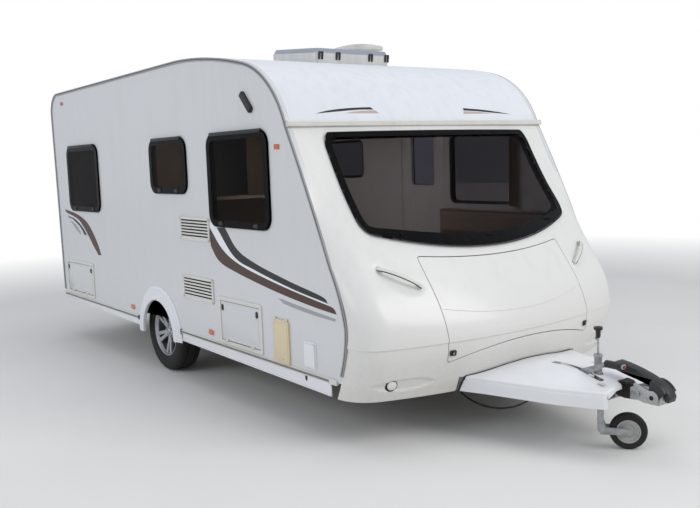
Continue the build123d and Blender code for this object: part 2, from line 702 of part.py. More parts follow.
LEAF_THICK = 26
for name, locker in (("side_locker_door", SIDE_LOCKER), ("rear_locker_door", REAR_LOCKER)):
    x_mid, hinge_z = centre(locker)[0], locker[2] + LOCKER_RIM + 3 + GAP / 2
    with BuildPart() as leaf:
        with BuildSketch(at_y(LEAF_FACE)):
            with Locations(centre(locker)):
                Rectangle(*size(locker, LOCKER_RIM + 3 + GAP))
        extrude(amount=-LEAF_THICK)
        for x in (x_mid - 170, x_mid + 170):
            with BuildSketch(Plane.YZ.offset(x - 11)):
                with Locations((HINGE_Y, hinge_z)):
                    Circle(KNUCKLE)
                with BuildLine():
                    Polyline((HINGE_Y - KNUCKLE, hinge_z), (HINGE_Y, hinge_z + 12),
                             (LEAF_FACE + 3, hinge_z + 12), (LEAF_FACE + 3, hinge_z + 4),
                             (LEAF_FACE, hinge_z), close=True)
                make_face()
                with Locations((HINGE_Y, hinge_z)):
                    Circle(PIN + SEAT, mode=Mode.SUBTRACT)
            extrude(amount=22)
    save(leaf, name)

with BuildPart() as battery_box_lid:
    with BuildSketch(at_y(-BODY_HALF - SEAT)):
        with Locations(centre(BATTERY_BOX)):
            RectangleRounded(*size(BATTERY_BOX, 0), 10)
    extrude(amount=TRIM_PROUD + 2)
    with BuildSketch(Plane.YZ.offset(BATTERY_BOX[0] + 34)):
        add(battery_lug(-1))
        with Locations(BATTERY_HINGE):
            Circle(PIN + SEAT, mode=Mode.SUBTRACT)
        with Locations((-BODY_HALF + 10, BATTERY_HINGE[1])):
            Rectangle(2 * (10 + SEAT), 60, mode=Mode.SUBTRACT)
    extrude(amount=BATTERY_BOX[1] - BATTERY_BOX[0] - 68)
save(battery_box_lid, "battery_box_lid")

# Entry door with its frame and window
DOOR_THICK = 28
DOOR_EDGE = DOOR_FRAME + GAP
HINGE_X = DOOR[1] - DOOR_FRAME - GAP / 2
with BuildPart() as door_frame:
    with BuildSketch(at_y(BODY_HALF)):
        with Locations(centre(DOOR)):
            RectangleRounded(*size(DOOR, 0), DOOR_CORNER)
            RectangleRounded(*size(DOOR, DOOR_FRAME), DOOR_CORNER - DOOR_FRAME, mode=Mode.SUBTRACT)
    extrude(amount=WALL)
    with BuildSketch(at_y(BODY_HALF)):
        with Locations(centre(DOOR)):
            RectangleRounded(*size(DOOR, -DOOR_FLANGE), DOOR_CORNER + DOOR_FLANGE)
            RectangleRounded(*size(DOOR, DOOR_FRAME), DOOR_CORNER - DOOR_FRAME, mode=Mode.SUBTRACT)
    extrude(amount=-DOOR_PROUD)
    for z in DOOR_HINGES:
        for low, tall, radius in ((z - 44, 30, DOOR_KNUCKLE), (z + 14, 30, DOOR_KNUCKLE),
                                  (z - 44, 88, PIN + 0.8)):
            with BuildSketch(Plane.XY.offset(low)):
                with Locations((HINGE_X, BODY_HALF + 11)):
                    Circle(radius)
            extrude(amount=tall)
            if radius == DOOR_KNUCKLE:
                with BuildSketch(Plane.XY.offset(low)):
                    with Locations((HINGE_X + 10, BODY_HALF + 7)):
                        Rectangle(16, 8)
                extrude(amount=tall)
save(door_frame, "door_frame")

with BuildPart() as entry_door:
    with BuildSketch(at_y(BODY_HALF)):
        with Locations(centre(DOOR)):
            RectangleRounded(*size(DOOR, DOOR_EDGE), DOOR_CORNER - DOOR_EDGE)
        with Locations(centre(DOOR_WINDOW)):
            RectangleRounded(*size(DOOR_WINDOW, WINDOW_LAP), 30, mode=Mode.SUBTRACT)
    extrude(amount=DOOR_THICK)
    with BuildSketch(at_y(BODY_HALF)):
        with Locations((DOOR[0] + 70, 1180)):
            RectangleRounded(40, 150, 12)
    extrude(amount=-14)
    for z in DOOR_HINGES:
        with BuildSketch(Plane.XY.offset(z - 13)):
            with BuildLine():
                Polyline((HINGE_X, BODY_HALF + 11), (HINGE_X - 36, BODY_HALF + 4),
                         (HINGE_X - 36, BODY_HALF - 2),
                         (HINGE_X - 6, BODY_HALF - 2), (HINGE_X - 3, BODY_HALF + 5), close=True)
            make_face()
            with Locations((HINGE_X, BODY_HALF + 11)):
                Circle(DOOR_KNUCKLE)
                Circle(PIN + 0.8 + SEAT, mode=Mode.SUBTRACT)
        extrude(amount=26)
save(entry_door, "entry_door")

with BuildPart() as door_window:
    with BuildSketch(at_y(BODY_HALF)):
        with Locations(centre(DOOR_WINDOW)):
            RectangleRounded(*size(DOOR_WINDOW, 0), 50)
    extrude(amount=-PANE / 2)
save(door_window, "door_window")

# Roof light frame and lid, hinged at the front edge
HINGE_OUT = LIGHT_LONG / 2 + 6
HINGE_UP = LIGHT_RISE + KNUCKLE + 0.5


def bracket_plane(y):
    """Side view in the roof light's own plane; extruding from it goes towards the offside."""
    return Plane(origin=LIGHT_PLANE.origin + Vector(0, y, 0), x_dir=LIGHT_PLANE.x_dir, z_dir=(0, -1, 0))


with BuildPart() as roof_light_frame:
    with BuildSketch(LIGHT_PLANE.offset(-30)):
        RectangleRounded(LIGHT_LONG, LIGHT_WIDE, 50)
        RectangleRounded(LIGHT_LONG - 2 * LIGHT_RIM, LIGHT_WIDE - 2 * LIGHT_RIM, 20, mode=Mode.SUBTRACT)
    extrude(amount=LIGHT_RISE + 30)
    with BuildSketch(at_y(0)):
        add(SIDE)
    extrude(amount=INNER_HALF, both=True, mode=Mode.SUBTRACT)
    for y in LIGHT_BRACKETS:
        for y0 in (y + BRACKET_WIDTH / 2, y - BRACKET_WIDTH / 6):
            with BuildSketch(bracket_plane(y0)):
                with BuildLine():
                    Polyline((LIGHT_LONG / 2 - 1, 24), (LIGHT_LONG / 2 + 7, 26),
                             (HINGE_OUT + KNUCKLE, HINGE_UP),
                             (HINGE_OUT, HINGE_UP), (LIGHT_LONG / 2, LIGHT_RISE - 4),
                             (LIGHT_LONG / 2 - 1, LIGHT_RISE - 4), close=True)
                make_face()
                with Locations((HINGE_OUT, HINGE_UP)):
                    Circle(KNUCKLE)
            extrude(amount=BRACKET_WIDTH / 3)
        with BuildSketch(bracket_plane(y + BRACKET_WIDTH / 2)):
            with Locations((HINGE_OUT, HINGE_UP)):
                Circle(PIN)
        extrude(amount=BRACKET_WIDTH)
save(roof_light_frame, "roof_light_frame")

with BuildPart() as roof_light_lid:
    with BuildSketch(LIGHT_PLANE.offset(LIGHT_RISE + SEAT)):
        RectangleRounded(LIGHT_LONG - 8, LIGHT_WIDE - 8, 46)
    extrude(amount=32, taper=25)
    for y in LIGHT_BRACKETS:
        with BuildSketch(bracket_plane(y + BRACKET_WIDTH / 6 - 1)):
            with BuildLine():
                Polyline((LIGHT_LONG / 2 - 16, HINGE_UP - 3), (LIGHT_LONG / 2 - 16, HINGE_UP + 4),
                         (HINGE_OUT, HINGE_UP + KNUCKLE), (HINGE_OUT, HINGE_UP - 3), close=True)
            make_face()
            with Locations((HINGE_OUT, HINGE_UP)):
                Circle(KNUCKLE)
                Circle(PIN + SEAT, mode=Mode.SUBTRACT)
        extrude(amount=BRACKET_WIDTH / 3 - 2)
save(roof_light_lid, "roof_light_lid")

# Wedge-shaped television aerial on a stub mast
AERIAL = (-317, BODY_HALF - 490, 2482)      # x, y and height of the middle of its foot
AERIAL_TURN = 53                            # its thick end points this far to the nearside of forwards
AERIAL_HALF = 215
AERIAL_DIR = (cos(radians(AERIAL_TURN)), sin(radians(AERIAL_TURN)), 0)
AERIAL_WAY = Plane(origin=AERIAL, x_dir=AERIAL_DIR, z_dir=(0, 0, 1))
with BuildPart() as tv_aerial:
    with BuildSketch(AERIAL_WAY):
        with BuildLine():
            ThreePointArc((-AERIAL_HALF, 24), (20, 122), (AERIAL_HALF, 40))
            ThreePointArc((AERIAL_HALF, 40), (AERIAL_HALF + 12, 0), (AERIAL_HALF, -40))
            ThreePointArc((AERIAL_HALF, -40), (20, -122), (-AERIAL_HALF, -24))
            ThreePointArc((-AERIAL_HALF, -24), (-AERIAL_HALF - 12, 0), (-AERIAL_HALF, 24))
        make_face()
    extrude(amount=60)
    with BuildSketch(Plane(origin=AERIAL, x_dir=AERIAL_WAY.x_dir, z_dir=AERIAL_WAY.y_dir * -1)):
        with BuildLine():
            ThreePointArc((-AERIAL_HALF - 20, 6), (40, 44), (AERIAL_HALF + 20, 26))
            Line((AERIAL_HALF + 20, 26), (AERIAL_HALF + 20, 10))
            ThreePointArc((AERIAL_HALF + 20, 10), (0, 0), (-AERIAL_HALF - 20, 0))
            Line((-AERIAL_HALF - 20, 0), (-AERIAL_HALF - 20, 6))
        make_face()
    extrude(amount=200, both=True, mode=Mode.INTERSECT)
    with BuildSketch(Plane.XY.offset(ROOF_CROWN[1] - 40)):
        with Locations(AERIAL[:2]):
            Circle(16)
    extrude(amount=AERIAL[2] + 12 - ROOF_CROWN[1] + 40)
    with BuildSketch(Plane.XY.offset(ROOF_CROWN[1] - 40)):
        with Locations(AERIAL[:2]):
            Circle(60)
    extrude(amount=58)
    with BuildSketch(at_y(INNER_HALF)):
        add(SIDE)
    extrude(amount=2 * INNER_HALF, mode=Mode.SUBTRACT)
save(tv_aerial, "tv_aerial")

# Chassis members: channels with outriggers that carry the corner steadies
MEMBER_PROFILE = (
    (MEMBER_ENDS[0], FLOOR_UNDER), (MEMBER_ENDS[1], FLOOR_UNDER),
    (MEMBER_ENDS[1], DRAWBAR_TOP - DRAWBAR_DEPTH), (1250, DRAWBAR_TOP - DRAWBAR_DEPTH),
    (900, FLOOR_UNDER - MEMBER_DEPTH), (-1350, FLOOR_UNDER - MEMBER_DEPTH),
    (-2250, FLOOR_UNDER - 70), (MEMBER_ENDS[0], FLOOR_UNDER - 70),
)
STEADY_PIVOT_Z = FLOOR_UNDER - 38
with BuildPart() as chassis_members:
    for side in (-1, 1):
        with BuildSketch(at_y(side * MEMBER_Y)):
            with BuildLine():
                Polyline(*MEMBER_PROFILE, close=True)
            make_face()
        extrude(amount=side * MEMBER_WIDTH)
        with BuildSketch(at_y(side * (MEMBER_Y - STEEL))):
            with BuildLine():
                Polyline(*MEMBER_PROFILE, close=True)
            make_face()
            offset(amount=-STEEL, mode=Mode.REPLACE)
        extrude(amount=side * MEMBER_WIDTH, mode=Mode.SUBTRACT)
        with BuildSketch(at_y(side * (MEMBER_Y + 5))):
            with Locations(*[(x, FLOOR_UNDER - 80) for x in (-1050, -300, 150, 550)]):
                Circle(34)
        extrude(amount=side * 20, mode=Mode.SUBTRACT)
        for x, way in STEADIES:
            with BuildSketch(at_y(side * MEMBER_Y)):
                with Locations((x - way * 8, FLOOR_UNDER - 11)):
                    Rectangle(84, 22)
            extrude(amount=-side * (STEADY_Y - 30 - MEMBER_Y))
            with BuildSketch(at_y(side * (STEADY_Y - 30))):
                with Locations((x, (STEADY_PIVOT_Z + FLOOR_UNDER) / 2 - 8)):
                    Rectangle(44, FLOOR_UNDER - STEADY_PIVOT_Z + 16)
            extrude(amount=side * 8)
            with BuildSketch(at_y(side * (STEADY_Y - 30))):
                with Locations((x, STEADY_PIVOT_Z)):
                    Circle(8)
            extrude(amount=-side * 60)
    with BuildSketch(at_y(MEMBER_Y + 1)):
        with Locations((AXLE_TUBE[0], AXLE_TUBE[1])):
            RegularPolygon(AXLE_TUBE[2] + SEAT, 6)
    extrude(amount=2 * (MEMBER_Y + 1), mode=Mode.SUBTRACT)
save(chassis_members, "chassis_members")

with BuildPart() as cross_members:
    for x, tall in ((-2700, 60), (-1500, 60), (150, 80), (1100, 80)):
        with BuildSketch(at_y(MEMBER_Y - STEEL)):
            with Locations((x, FLOOR_UNDER - tall / 2)):
                Rectangle(50, tall)
                Rectangle(50 - 2 * STEEL, tall - 2 * STEEL, mode=Mode.SUBTRACT)
        extrude(amount=2 * (MEMBER_Y - STEEL))
    add(chassis_members.part, mode=Mode.SUBTRACT)
save(cross_members, "cross_members")

# Drawbars run from the members' front ends to the nose
bar_dx = DRAWBAR_NOSE[0] - MEMBER_ENDS[1]
bar_dy = DRAWBAR_NOSE[1] - MEMBER_Y
bar_angle = degrees(atan2(bar_dy, bar_dx))
with BuildPart() as drawbars:
    for side in (-1, 1):
        way = Vector(bar_dx, side * bar_dy, 0).normalized()
        across = Vector(0, 0, 1).cross(way) * side
        corner = Vector(MEMBER_ENDS[1] + SEAT, side * MEMBER_Y, 0)
        with BuildSketch(Plane(origin=corner, x_dir=across, z_dir=way)) as bar:
            with Locations((-MEMBER_WIDTH / 2, side * (DRAWBAR_TOP - DRAWBAR_DEPTH / 2))):
                Rectangle(MEMBER_WIDTH, DRAWBAR_DEPTH)
            with Locations((-MEMBER_WIDTH / 2 - STEEL, side * (DRAWBAR_TOP - DRAWBAR_DEPTH / 2))):
                Rectangle(MEMBER_WIDTH, DRAWBAR_DEPTH - 2 * STEEL, mode=Mode.SUBTRACT)
        extrude(amount=hypot(bar_dx, bar_dy))
    with BuildSketch(Plane.XY):
        with Locations((MEMBER_ENDS[1] - 300, 0)):
            Rectangle(600, 3000)
    extrude(amount=1000, mode=Mode.SUBTRACT)
save(drawbars, "drawbars")

# Axle: cross tube, trailing arms, brake backplates and stub spindles
TUBE_X, TUBE_Z = AXLE_TUBE[:2]
HUB_Y = WHEEL_Y - 20
with BuildPart() as axle:
    with BuildSketch(Plane.XZ.offset(-ARM_Y)):
        with Locations((TUBE_X, TUBE_Z)):
            RegularPolygon(AXLE_TUBE[2], 6)
    extrude(amount=2 * ARM_Y)
    for side in (-1, 1):
        with BuildSketch(at_y(side * ARM_Y)):
            with BuildLine():
                ThreePointArc((TUBE_X, 395), (TUBE_X + 55, 340), (TUBE_X, 285))
                Line((TUBE_X, 285), (AXLE_X, TYRE_RADIUS - 38))
                ThreePointArc((AXLE_X, TYRE_RADIUS - 38), (AXLE_X - 38, TYRE_RADIUS),
                              (AXLE_X, TYRE_RADIUS + 38))
                Line((AXLE_X, TYRE_RADIUS + 38), (TUBE_X, 395))
            make_face()
        extrude(amount=-side * 40)
        with BuildSketch(at_y(side * (ARM_Y + 40))):
            with Locations((AXLE_X, TYRE_RADIUS)):
                Circle(34)
        extrude(amount=-side * (BACKPLATE_Y - ARM_Y - 40))
        with BuildSketch(at_y(side * BACKPLATE_Y)):
            with Locations((AXLE_X, TYRE_RADIUS)):
                Circle(118)
        extrude(amount=-side * 6)
        with BuildSketch(at_y(side * (BACKPLATE_Y + 6))):
            with Locations((AXLE_X, TYRE_RADIUS)):
                Circle(20)
        extrude(amount=-side * (HUB_Y - BACKPLATE_Y - 6))
save(axle, "axle")

# Road wheels
for name, side in (("offside", -1), ("nearside", 1)):
    hub = Axis((AXLE_X, 0, TYRE_RADIUS), (0, 1, 0))
    with BuildPart() as tyre:
        with BuildSketch(Plane.YZ.offset(AXLE_X)):
            with BuildLine():
                half = TYRE_WIDTH / 2
                Polyline((side * WHEEL_Y - half + 12, TYRE_RADIUS + RIM_RADIUS),
                         (side * WHEEL_Y - half, TYRE_RADIUS + RIM_RADIUS + 50),
                         (side * WHEEL_Y - half + 4, 2 * TYRE_RADIUS - TYRE_SHOULDER),
                         (side * WHEEL_Y - half + 26, 2 * TYRE_RADIUS),
                         (side * WHEEL_Y + half - 26, 2 * TYRE_RADIUS),
                         (side * WHEEL_Y + half - 4, 2 * TYRE_RADIUS - TYRE_SHOULDER),
                         (side * WHEEL_Y + half, TYRE_RADIUS + RIM_RADIUS + 50),
                         (side * WHEEL_Y + half - 12, TYRE_RADIUS + RIM_RADIUS), close=True)
            make_face()
        revolve(axis=hub)
    save(tyre, name + "_tyre")
    with BuildPart() as rim:
        half = TYRE_WIDTH / 2 - 12
        with BuildSketch(Plane.YZ.offset(AXLE_X)):
            with BuildLine():
                Polyline((side * WHEEL_Y - half, TYRE_RADIUS + RIM_RADIUS),
                         (side * WHEEL_Y - half, TYRE_RADIUS + RIM_RADIUS - 16),
                         (side * WHEEL_Y + half, TYRE_RADIUS + RIM_RADIUS - 16),
                         (side * WHEEL_Y + half, TYRE_RADIUS + RIM_RADIUS), close=True)
            make_face()
        revolve(axis=hub)
        face_y = side * (WHEEL_Y + half - 12)
        with BuildSketch(at_y(face_y)):
            with Locations((AXLE_X, TYRE_RADIUS)):
                Circle(62)
                for splay in (-SPOKE_SPLAY, SPOKE_SPLAY):
                    with PolarLocations(108, SPOKE_PAIRS, start_angle=SPOKE_TURN + splay):
                        Rectangle(150, 19)
        extrude(amount=side * 26)
        with BuildSketch(at_y(side * (BACKPLATE_Y + 6 + GAP))):
            with Locations((AXLE_X, TYRE_RADIUS)):
                Circle(108)
        extrude(amount=-side * (abs(face_y) - 26 - BACKPLATE_Y - 6 - GAP))
        with BuildSketch(at_y(side * (HUB_Y - 240))):
            with Locations((AXLE_X, TYRE_RADIUS)):
                Circle(20 + SEAT)
        extrude(amount=-side * (240 + GAP), mode=Mode.SUBTRACT)
        with BuildSketch(at_y(face_y)):
            with Locations((AXLE_X, TYRE_RADIUS)):
                Circle(RIM_RADIUS + 100)
                Circle(RIM_RADIUS, mode=Mode.SUBTRACT)
        extrude(amount=60, both=True, mode=Mode.SUBTRACT)
    save(rim, name + "_rim")

# Overrun gear at the nose
HOUSING = (2430, 2652)
HOUSING_LAP = 24            # the plate rests this far onto the drawbars' lower flanges
with BuildPart() as overrun_housing:
    with BuildSketch(Plane.XY.offset(DRAWBAR_TOP - DRAWBAR_DEPTH + STEEL + SEAT)):
        with BuildLine():
            y0 = MEMBER_Y + (HOUSING[0] - MEMBER_ENDS[1]) * bar_dy / bar_dx - MEMBER_WIDTH + HOUSING_LAP
            y1 = DRAWBAR_NOSE[1] - MEMBER_WIDTH + HOUSING_LAP
            Polyline((HOUSING[0], -y0), (DRAWBAR_NOSE[0], -y1), (DRAWBAR_NOSE[0], y1),
                     (HOUSING[0], y0), close=True)
        make_face()
        with Locations(JOCKEY):
            Circle(TUBE_RADIUS + 1, mode=Mode.SUBTRACT)
    extrude(amount=8)
    with BuildSketch(at_y(10)):
        with Locations(((HOUSING[0] + DRAWBAR_NOSE[0]) / 2, SHAFT_Z - 36)):
            Rectangle(DRAWBAR_NOSE[0] - HOUSING[0], 34)
    extrude(amount=20)
    for y in (LEVER_Y + 16, LEVER_Y - 10):
        with BuildSketch(at_y(y)):
            with Locations((LEVER_PIVOT[0], (LEVER_PIVOT[1] + SHAFT_Z - 50) / 2 + 6)):
                Rectangle(44, LEVER_PIVOT[1] - SHAFT_Z + 64)
        extrude(amount=6)
    with BuildSketch(at_y(LEVER_Y + 12)):
        with Locations(LEVER_PIVOT):
            Circle(7)
    extrude(amount=24)
    with BuildSketch(Plane.YZ.offset(HOUSING[0])):
        with Locations((0, SHAFT_Z)):
            Circle(SHAFT_RADIUS + 8)
    extrude(amount=HOUSING[1] - HOUSING[0])
    with BuildSketch(Plane.YZ.offset(HOUSING[0] - 10)):
        with Locations((0, SHAFT_Z)):
            Circle(SHAFT_RADIUS + SEAT)
    extrude(amount=400, mode=Mode.SUBTRACT)
save(overrun_housing, "overrun_housing")

BELLOWS = (2653, 2752)
with BuildPart() as bellows:
    ribs = 5
    pitch = (BELLOWS[1] - BELLOWS[0]) / ribs
    with BuildSketch(at_y(0)):
        with BuildLine():
            points = [(BELLOWS[0], SHAFT_Z + SHAFT_RADIUS + SEAT), (BELLOWS[0], SHAFT_Z + 33)]
            for rib in range(ribs):
                points += [(BELLOWS[0] + (rib + 0.5) * pitch, SHAFT_Z + 43),
                           (BELLOWS[0] + (rib + 1) * pitch, SHAFT_Z + 33)]
            points += [(BELLOWS[1], SHAFT_Z + SHAFT_RADIUS + SEAT)]
            Polyline(*points, close=True)
        make_face()
    revolve(axis=Axis((0, 0, SHAFT_Z), (1, 0, 0)))
save(bellows, "bellows")

HEAD_HALF = 44
NOSE_RADIUS = 50            # the head's nose is round about the handle's pivot
HANDLE_INNER_RADIUS = 57
with BuildPart() as coupling_head:
    with BuildSketch(Plane.YZ.offset(HOUSING[0] + 30)):
        with Locations((0, SHAFT_Z)):
            Circle(SHAFT_RADIUS)
    extrude(amount=BELLOWS[1] + 20 - HOUSING[0] - 30)
    with BuildSketch(at_y(HEAD_HALF)):
        with Locations(HANDLE_PIVOT):
            Circle(NOSE_RADIUS)
        with BuildLine():
            Polyline((BELLOWS[1] + 1, 302), (BELLOWS[1] + 1, 366), (2800, 386),
                     (HANDLE_PIVOT[0], HANDLE_PIVOT[1] + NOSE_RADIUS), HANDLE_PIVOT, (2921, HEAD_FOOT),
                     (2830, HEAD_FOOT), (2800, 306), close=True)
        make_face()
        with Locations((HANDLE_PIVOT[0], HEAD_FOOT - 100)):
            Rectangle(400, 200, mode=Mode.SUBTRACT)
    extrude(amount=2 * HEAD_HALF)
    with BuildSketch(at_y(HEAD_HALF + 9)):
        with Locations(HANDLE_PIVOT):
            Circle(9)
    extrude(amount=2 * HEAD_HALF + 18)
    with BuildSketch(Plane.XY.offset(HEAD_FOOT)):
        with Locations((BALL[0], 0)):
            Circle(BALL[1])
    extrude(amount=46, mode=Mode.SUBTRACT)
save(coupling_head, "coupling_head")


def about_pivot(radius, angle):
    """Side-view point at this radius and angle from the handle's pivot."""
    return HANDLE_PIVOT[0] + radius * cos(radians(angle)), HANDLE_PIVOT[1] + radius * sin(radians(angle))


TIP_RADIUS = COUPLING_TIP - HANDLE_PIVOT[0]
with BuildPart() as coupling_handle:
    with BuildSketch(at_y(33)):
        with BuildLine():
            ThreePointArc((2652, 486), (2780, 461), about_pivot(TIP_RADIUS + 3, 95))
            ThreePointArc(about_pivot(TIP_RADIUS + 3, 95), about_pivot(TIP_RADIUS - 7, 45),
                          (COUPLING_TIP, HANDLE_PIVOT[1] + 8))
            Polyline((COUPLING_TIP, HANDLE_PIVOT[1] + 8), about_pivot(TIP_RADIUS - 6, -14),
                     about_pivot(HANDLE_INNER_RADIUS, -14))
            ThreePointArc(about_pivot(HANDLE_INNER_RADIUS, -14), about_pivot(HANDLE_INNER_RADIUS, 40),
                          about_pivot(HANDLE_INNER_RADIUS, 96))
            ThreePointArc(about_pivot(HANDLE_INNER_RADIUS, 96), (2790, 409), (2660, 438))
            Line((2660, 438), (2652, 486))
        make_face()
    extrude(amount=66)
    with BuildSketch(at_y(HEAD_HALF + 9)):
        with BuildLine():
            ThreePointArc(about_pivot(TIP_RADIUS + 1, 100), about_pivot(TIP_RADIUS - 7, 62),
                          about_pivot(TIP_RADIUS - 8, 24))
            Line(about_pivot(TIP_RADIUS - 8, 24), about_pivot(HANDLE_INNER_RADIUS, 24))
            ThreePointArc(about_pivot(HANDLE_INNER_RADIUS, 24), about_pivot(HANDLE_INNER_RADIUS, 62),
                          about_pivot(HANDLE_INNER_RADIUS, 100))
            Line(about_pivot(HANDLE_INNER_RADIUS, 100), about_pivot(TIP_RADIUS + 1, 100))
        make_face()
    extrude(amount=2 * HEAD_HALF + 18)
    for y in (HEAD_HALF + 9, -HEAD_HALF - 1):
        with BuildSketch(at_y(y)):
            with BuildLine():
                Polyline(about_pivot(30, 150), about_pivot(TIP_RADIUS + 1, 100),
                         about_pivot(TIP_RADIUS - 7, 62), about_pivot(TIP_RADIUS - 8, 24),
                         about_pivot(28, -30), about_pivot(10, -90), close=True)
            make_face()
            with Locations(HANDLE_PIVOT):
                Circle(30)
                Circle(9 + SEAT, mode=Mode.SUBTRACT)
        extrude(amount=8)
save(coupling_handle, "coupling_handle")

with BuildPart() as handbrake_lever:
    lever_end = (2648, 480)
    grip_end = (2768, 487)
    with BuildSketch(at_y(LEVER_Y + 9)):
        with BuildLine():
            Polyline((LEVER_PIVOT[0] - 20, LEVER_PIVOT[1] - 14), (LEVER_PIVOT[0] - 14, LEVER_PIVOT[1] + 18),
                     (lever_end[0], lever_end[1] + 10), (lever_end[0] + 6, lever_end[1] - 12),
                     (LEVER_PIVOT[0] + 20, LEVER_PIVOT[1] - 16), close=True)
        make_face()
        with Locations(LEVER_PIVOT):
            Circle(7 + SEAT, mode=Mode.SUBTRACT)
    extrude(amount=18)
    with BuildSketch(Plane(origin=(lever_end[0] - 6, LEVER_Y, lever_end[1]),
                           z_dir=(grip_end[0] - lever_end[0], 0, grip_end[1] - lever_end[1]))):
        RectangleRounded(26, 32, 11)
    extrude(amount=124)
save(handbrake_lever, "handbrake_lever")

# Jockey wheel: clamped outer tube, sliding inner tube, castor fork and wheel
tube_foot, tube_top = SHAFT_Z - 82, 516
with BuildPart() as jockey_outer_tube:
    with BuildSketch(Plane.XY.offset(tube_foot)):
        with Locations(JOCKEY):
            Circle(TUBE_RADIUS)
    extrude(amount=tube_top - tube_foot)
    with BuildSketch(Plane.XY.offset(tube_foot)):
        with Locations(JOCKEY):
            Circle(TUBE_RADIUS - 3)
    extrude(amount=tube_top - tube_foot - 6, mode=Mode.SUBTRACT)
    with BuildSketch(Plane.XY.offset(tube_top)):
        with Locations(JOCKEY):
            Circle(6)
    extrude(amount=126)
    with BuildSketch(Plane.XY.offset(tube_top + 90)):
        with Locations(JOCKEY):
            Circle(13)
    extrude(amount=42)
    with BuildSketch(Plane.XY.offset(tube_top + 132)):
        with Locations(JOCKEY):
            Circle(24)
    extrude(amount=18)
    bar_y = MEMBER_Y + (JOCKEY[0] - MEMBER_ENDS[1]) * bar_dy / bar_dx - MEMBER_WIDTH
    with BuildSketch(Plane.XY.offset(SHAFT_Z - 40)):
        with Locations((JOCKEY[0] - 10, (JOCKEY[1] - bar_y) / 2 - 34)):
            Rectangle(38, bar_y + JOCKEY[1] - 8 + 60)
        with Locations(JOCKEY):
            Circle(TUBE_RADIUS + 5)
            Circle(TUBE_RADIUS - 3, mode=Mode.SUBTRACT)
    extrude(amount=56)
    add(drawbars.part, mode=Mode.SUBTRACT)
save(jockey_outer_tube, "jockey_outer_tube")

fork_way = Vector(cos(radians(JOCKEY_TURN)), sin(radians(JOCKEY_TURN)), 0)
fork_side = Vector(0, 0, 1).cross(fork_way)
tube_point = Vector(*JOCKEY, 0)
wheel_point = tube_point + fork_way * JOCKEY_TRAIL
fork_top = 236
inner_radius = TUBE_RADIUS - 3 - 0.5
with BuildPart() as jockey_inner_tube:
    with BuildSketch(Plane.XY.offset(fork_top + 1)):
        with Locations(JOCKEY):
            Circle(inner_radius)
            Circle(7 + SEAT, mode=Mode.SUBTRACT)
    extrude(amount=242)
save(jockey_inner_tube, "jockey_inner_tube")

with BuildPart() as jockey_fork:
    arm = Plane(origin=tube_point, x_dir=fork_way, z_dir=fork_side * -1)
    for side in (-1, 1):
        near = JOCKEY_WIDTH / 2 + GAP
        with BuildSketch(arm.offset(side * near)):
            with BuildLine():
                Polyline((-6, fork_top), (-6, JOCKEY_RADIUS + 6), (14, JOCKEY_RADIUS - 18),
                         (JOCKEY_TRAIL, JOCKEY_RADIUS - 18), (JOCKEY_TRAIL, JOCKEY_RADIUS + 18),
                         (38, JOCKEY_RADIUS + 22), (28, JOCKEY_RADIUS + 50), (28, fork_top), close=True)
            make_face()
            with Locations((JOCKEY_TRAIL, JOCKEY_RADIUS)):
                Circle(18)
        extrude(amount=side * 5)
    with BuildSketch(Plane(origin=tube_point + Vector(0, 0, fork_top - 10), x_dir=fork_way, z_dir=(0, 0, 1))):
        with Locations((8, 0)):
            Rectangle(40, 2 * near + 10)
    extrude(amount=10)
    with BuildSketch(Plane.XY.offset(fork_top)):
        with Locations(JOCKEY):
            Circle(7)
    extrude(amount=100)
    with BuildSketch(arm.offset(-near - 5)):
        with Locations((JOCKEY_TRAIL, JOCKEY_RADIUS)):
            Circle(8)
    extrude(amount=2 * near + 10)
save(jockey_fork, "jockey_fork")

wheel_plane = Plane(origin=wheel_point + Vector(0, 0, JOCKEY_RADIUS), x_dir=(0, 0, 1), z_dir=fork_way)
wheel_axis = Axis(wheel_point + Vector(0, 0, JOCKEY_RADIUS), fork_side)
for name, inner_r, outer_r, half in (("jockey_tyre", 62, JOCKEY_RADIUS, JOCKEY_WIDTH / 2),
                                     ("jockey_rim", 8 + SEAT, 62, JOCKEY_WIDTH / 2 - 4)):
    with BuildPart() as ring:
        with BuildSketch(wheel_plane):
            with Locations(((inner_r + outer_r) / 2, 0)):
                if name == "jockey_tyre":
                    RectangleRounded(outer_r - inner_r, 2 * half, 15)
                else:
                    Rectangle(outer_r - inner_r, 2 * half)
        revolve(axis=wheel_axis)
    save(ring, name)

# A-frame cover: x, how far its sides stand off the drawbars, height of the crown and its half width
COVER_STATIONS = ((1880, 8, 362, 120), (2085, 8, 398, 120), (2260, 19, 434, 120), (2472, 35, 432, 120),
                  (2600, 23, 402, 110), (2716, 10, 372, 100))
COVER_FOOT = 268
COVER_EDGE = 358
COVER_WALL = 4
COVER_MOUTH = 350           # width of the opening in its nose


def cover_body(inset):
    with BuildPart() as body:
        for x, stand_off, crown_z, crown_half in COVER_STATIONS:
            half = MEMBER_Y + (x - MEMBER_ENDS[1]) * bar_dy / bar_dx + stand_off
            edge = min(COVER_EDGE, crown_z - 4) - inset
            with BuildSketch(Plane.YZ.offset(x + (inset if x < 2000 else -inset))):
                with BuildLine():
                    Polyline((-half + inset, COVER_FOOT - 0.1 * inset), (-half + inset, edge),
                             (-crown_half, crown_z - inset), (crown_half, crown_z - inset),
                             (half - inset, edge), (half - inset, COVER_FOOT - 0.1 * inset), close=True)
                make_face()
        loft(ruled=True)
    return body.part


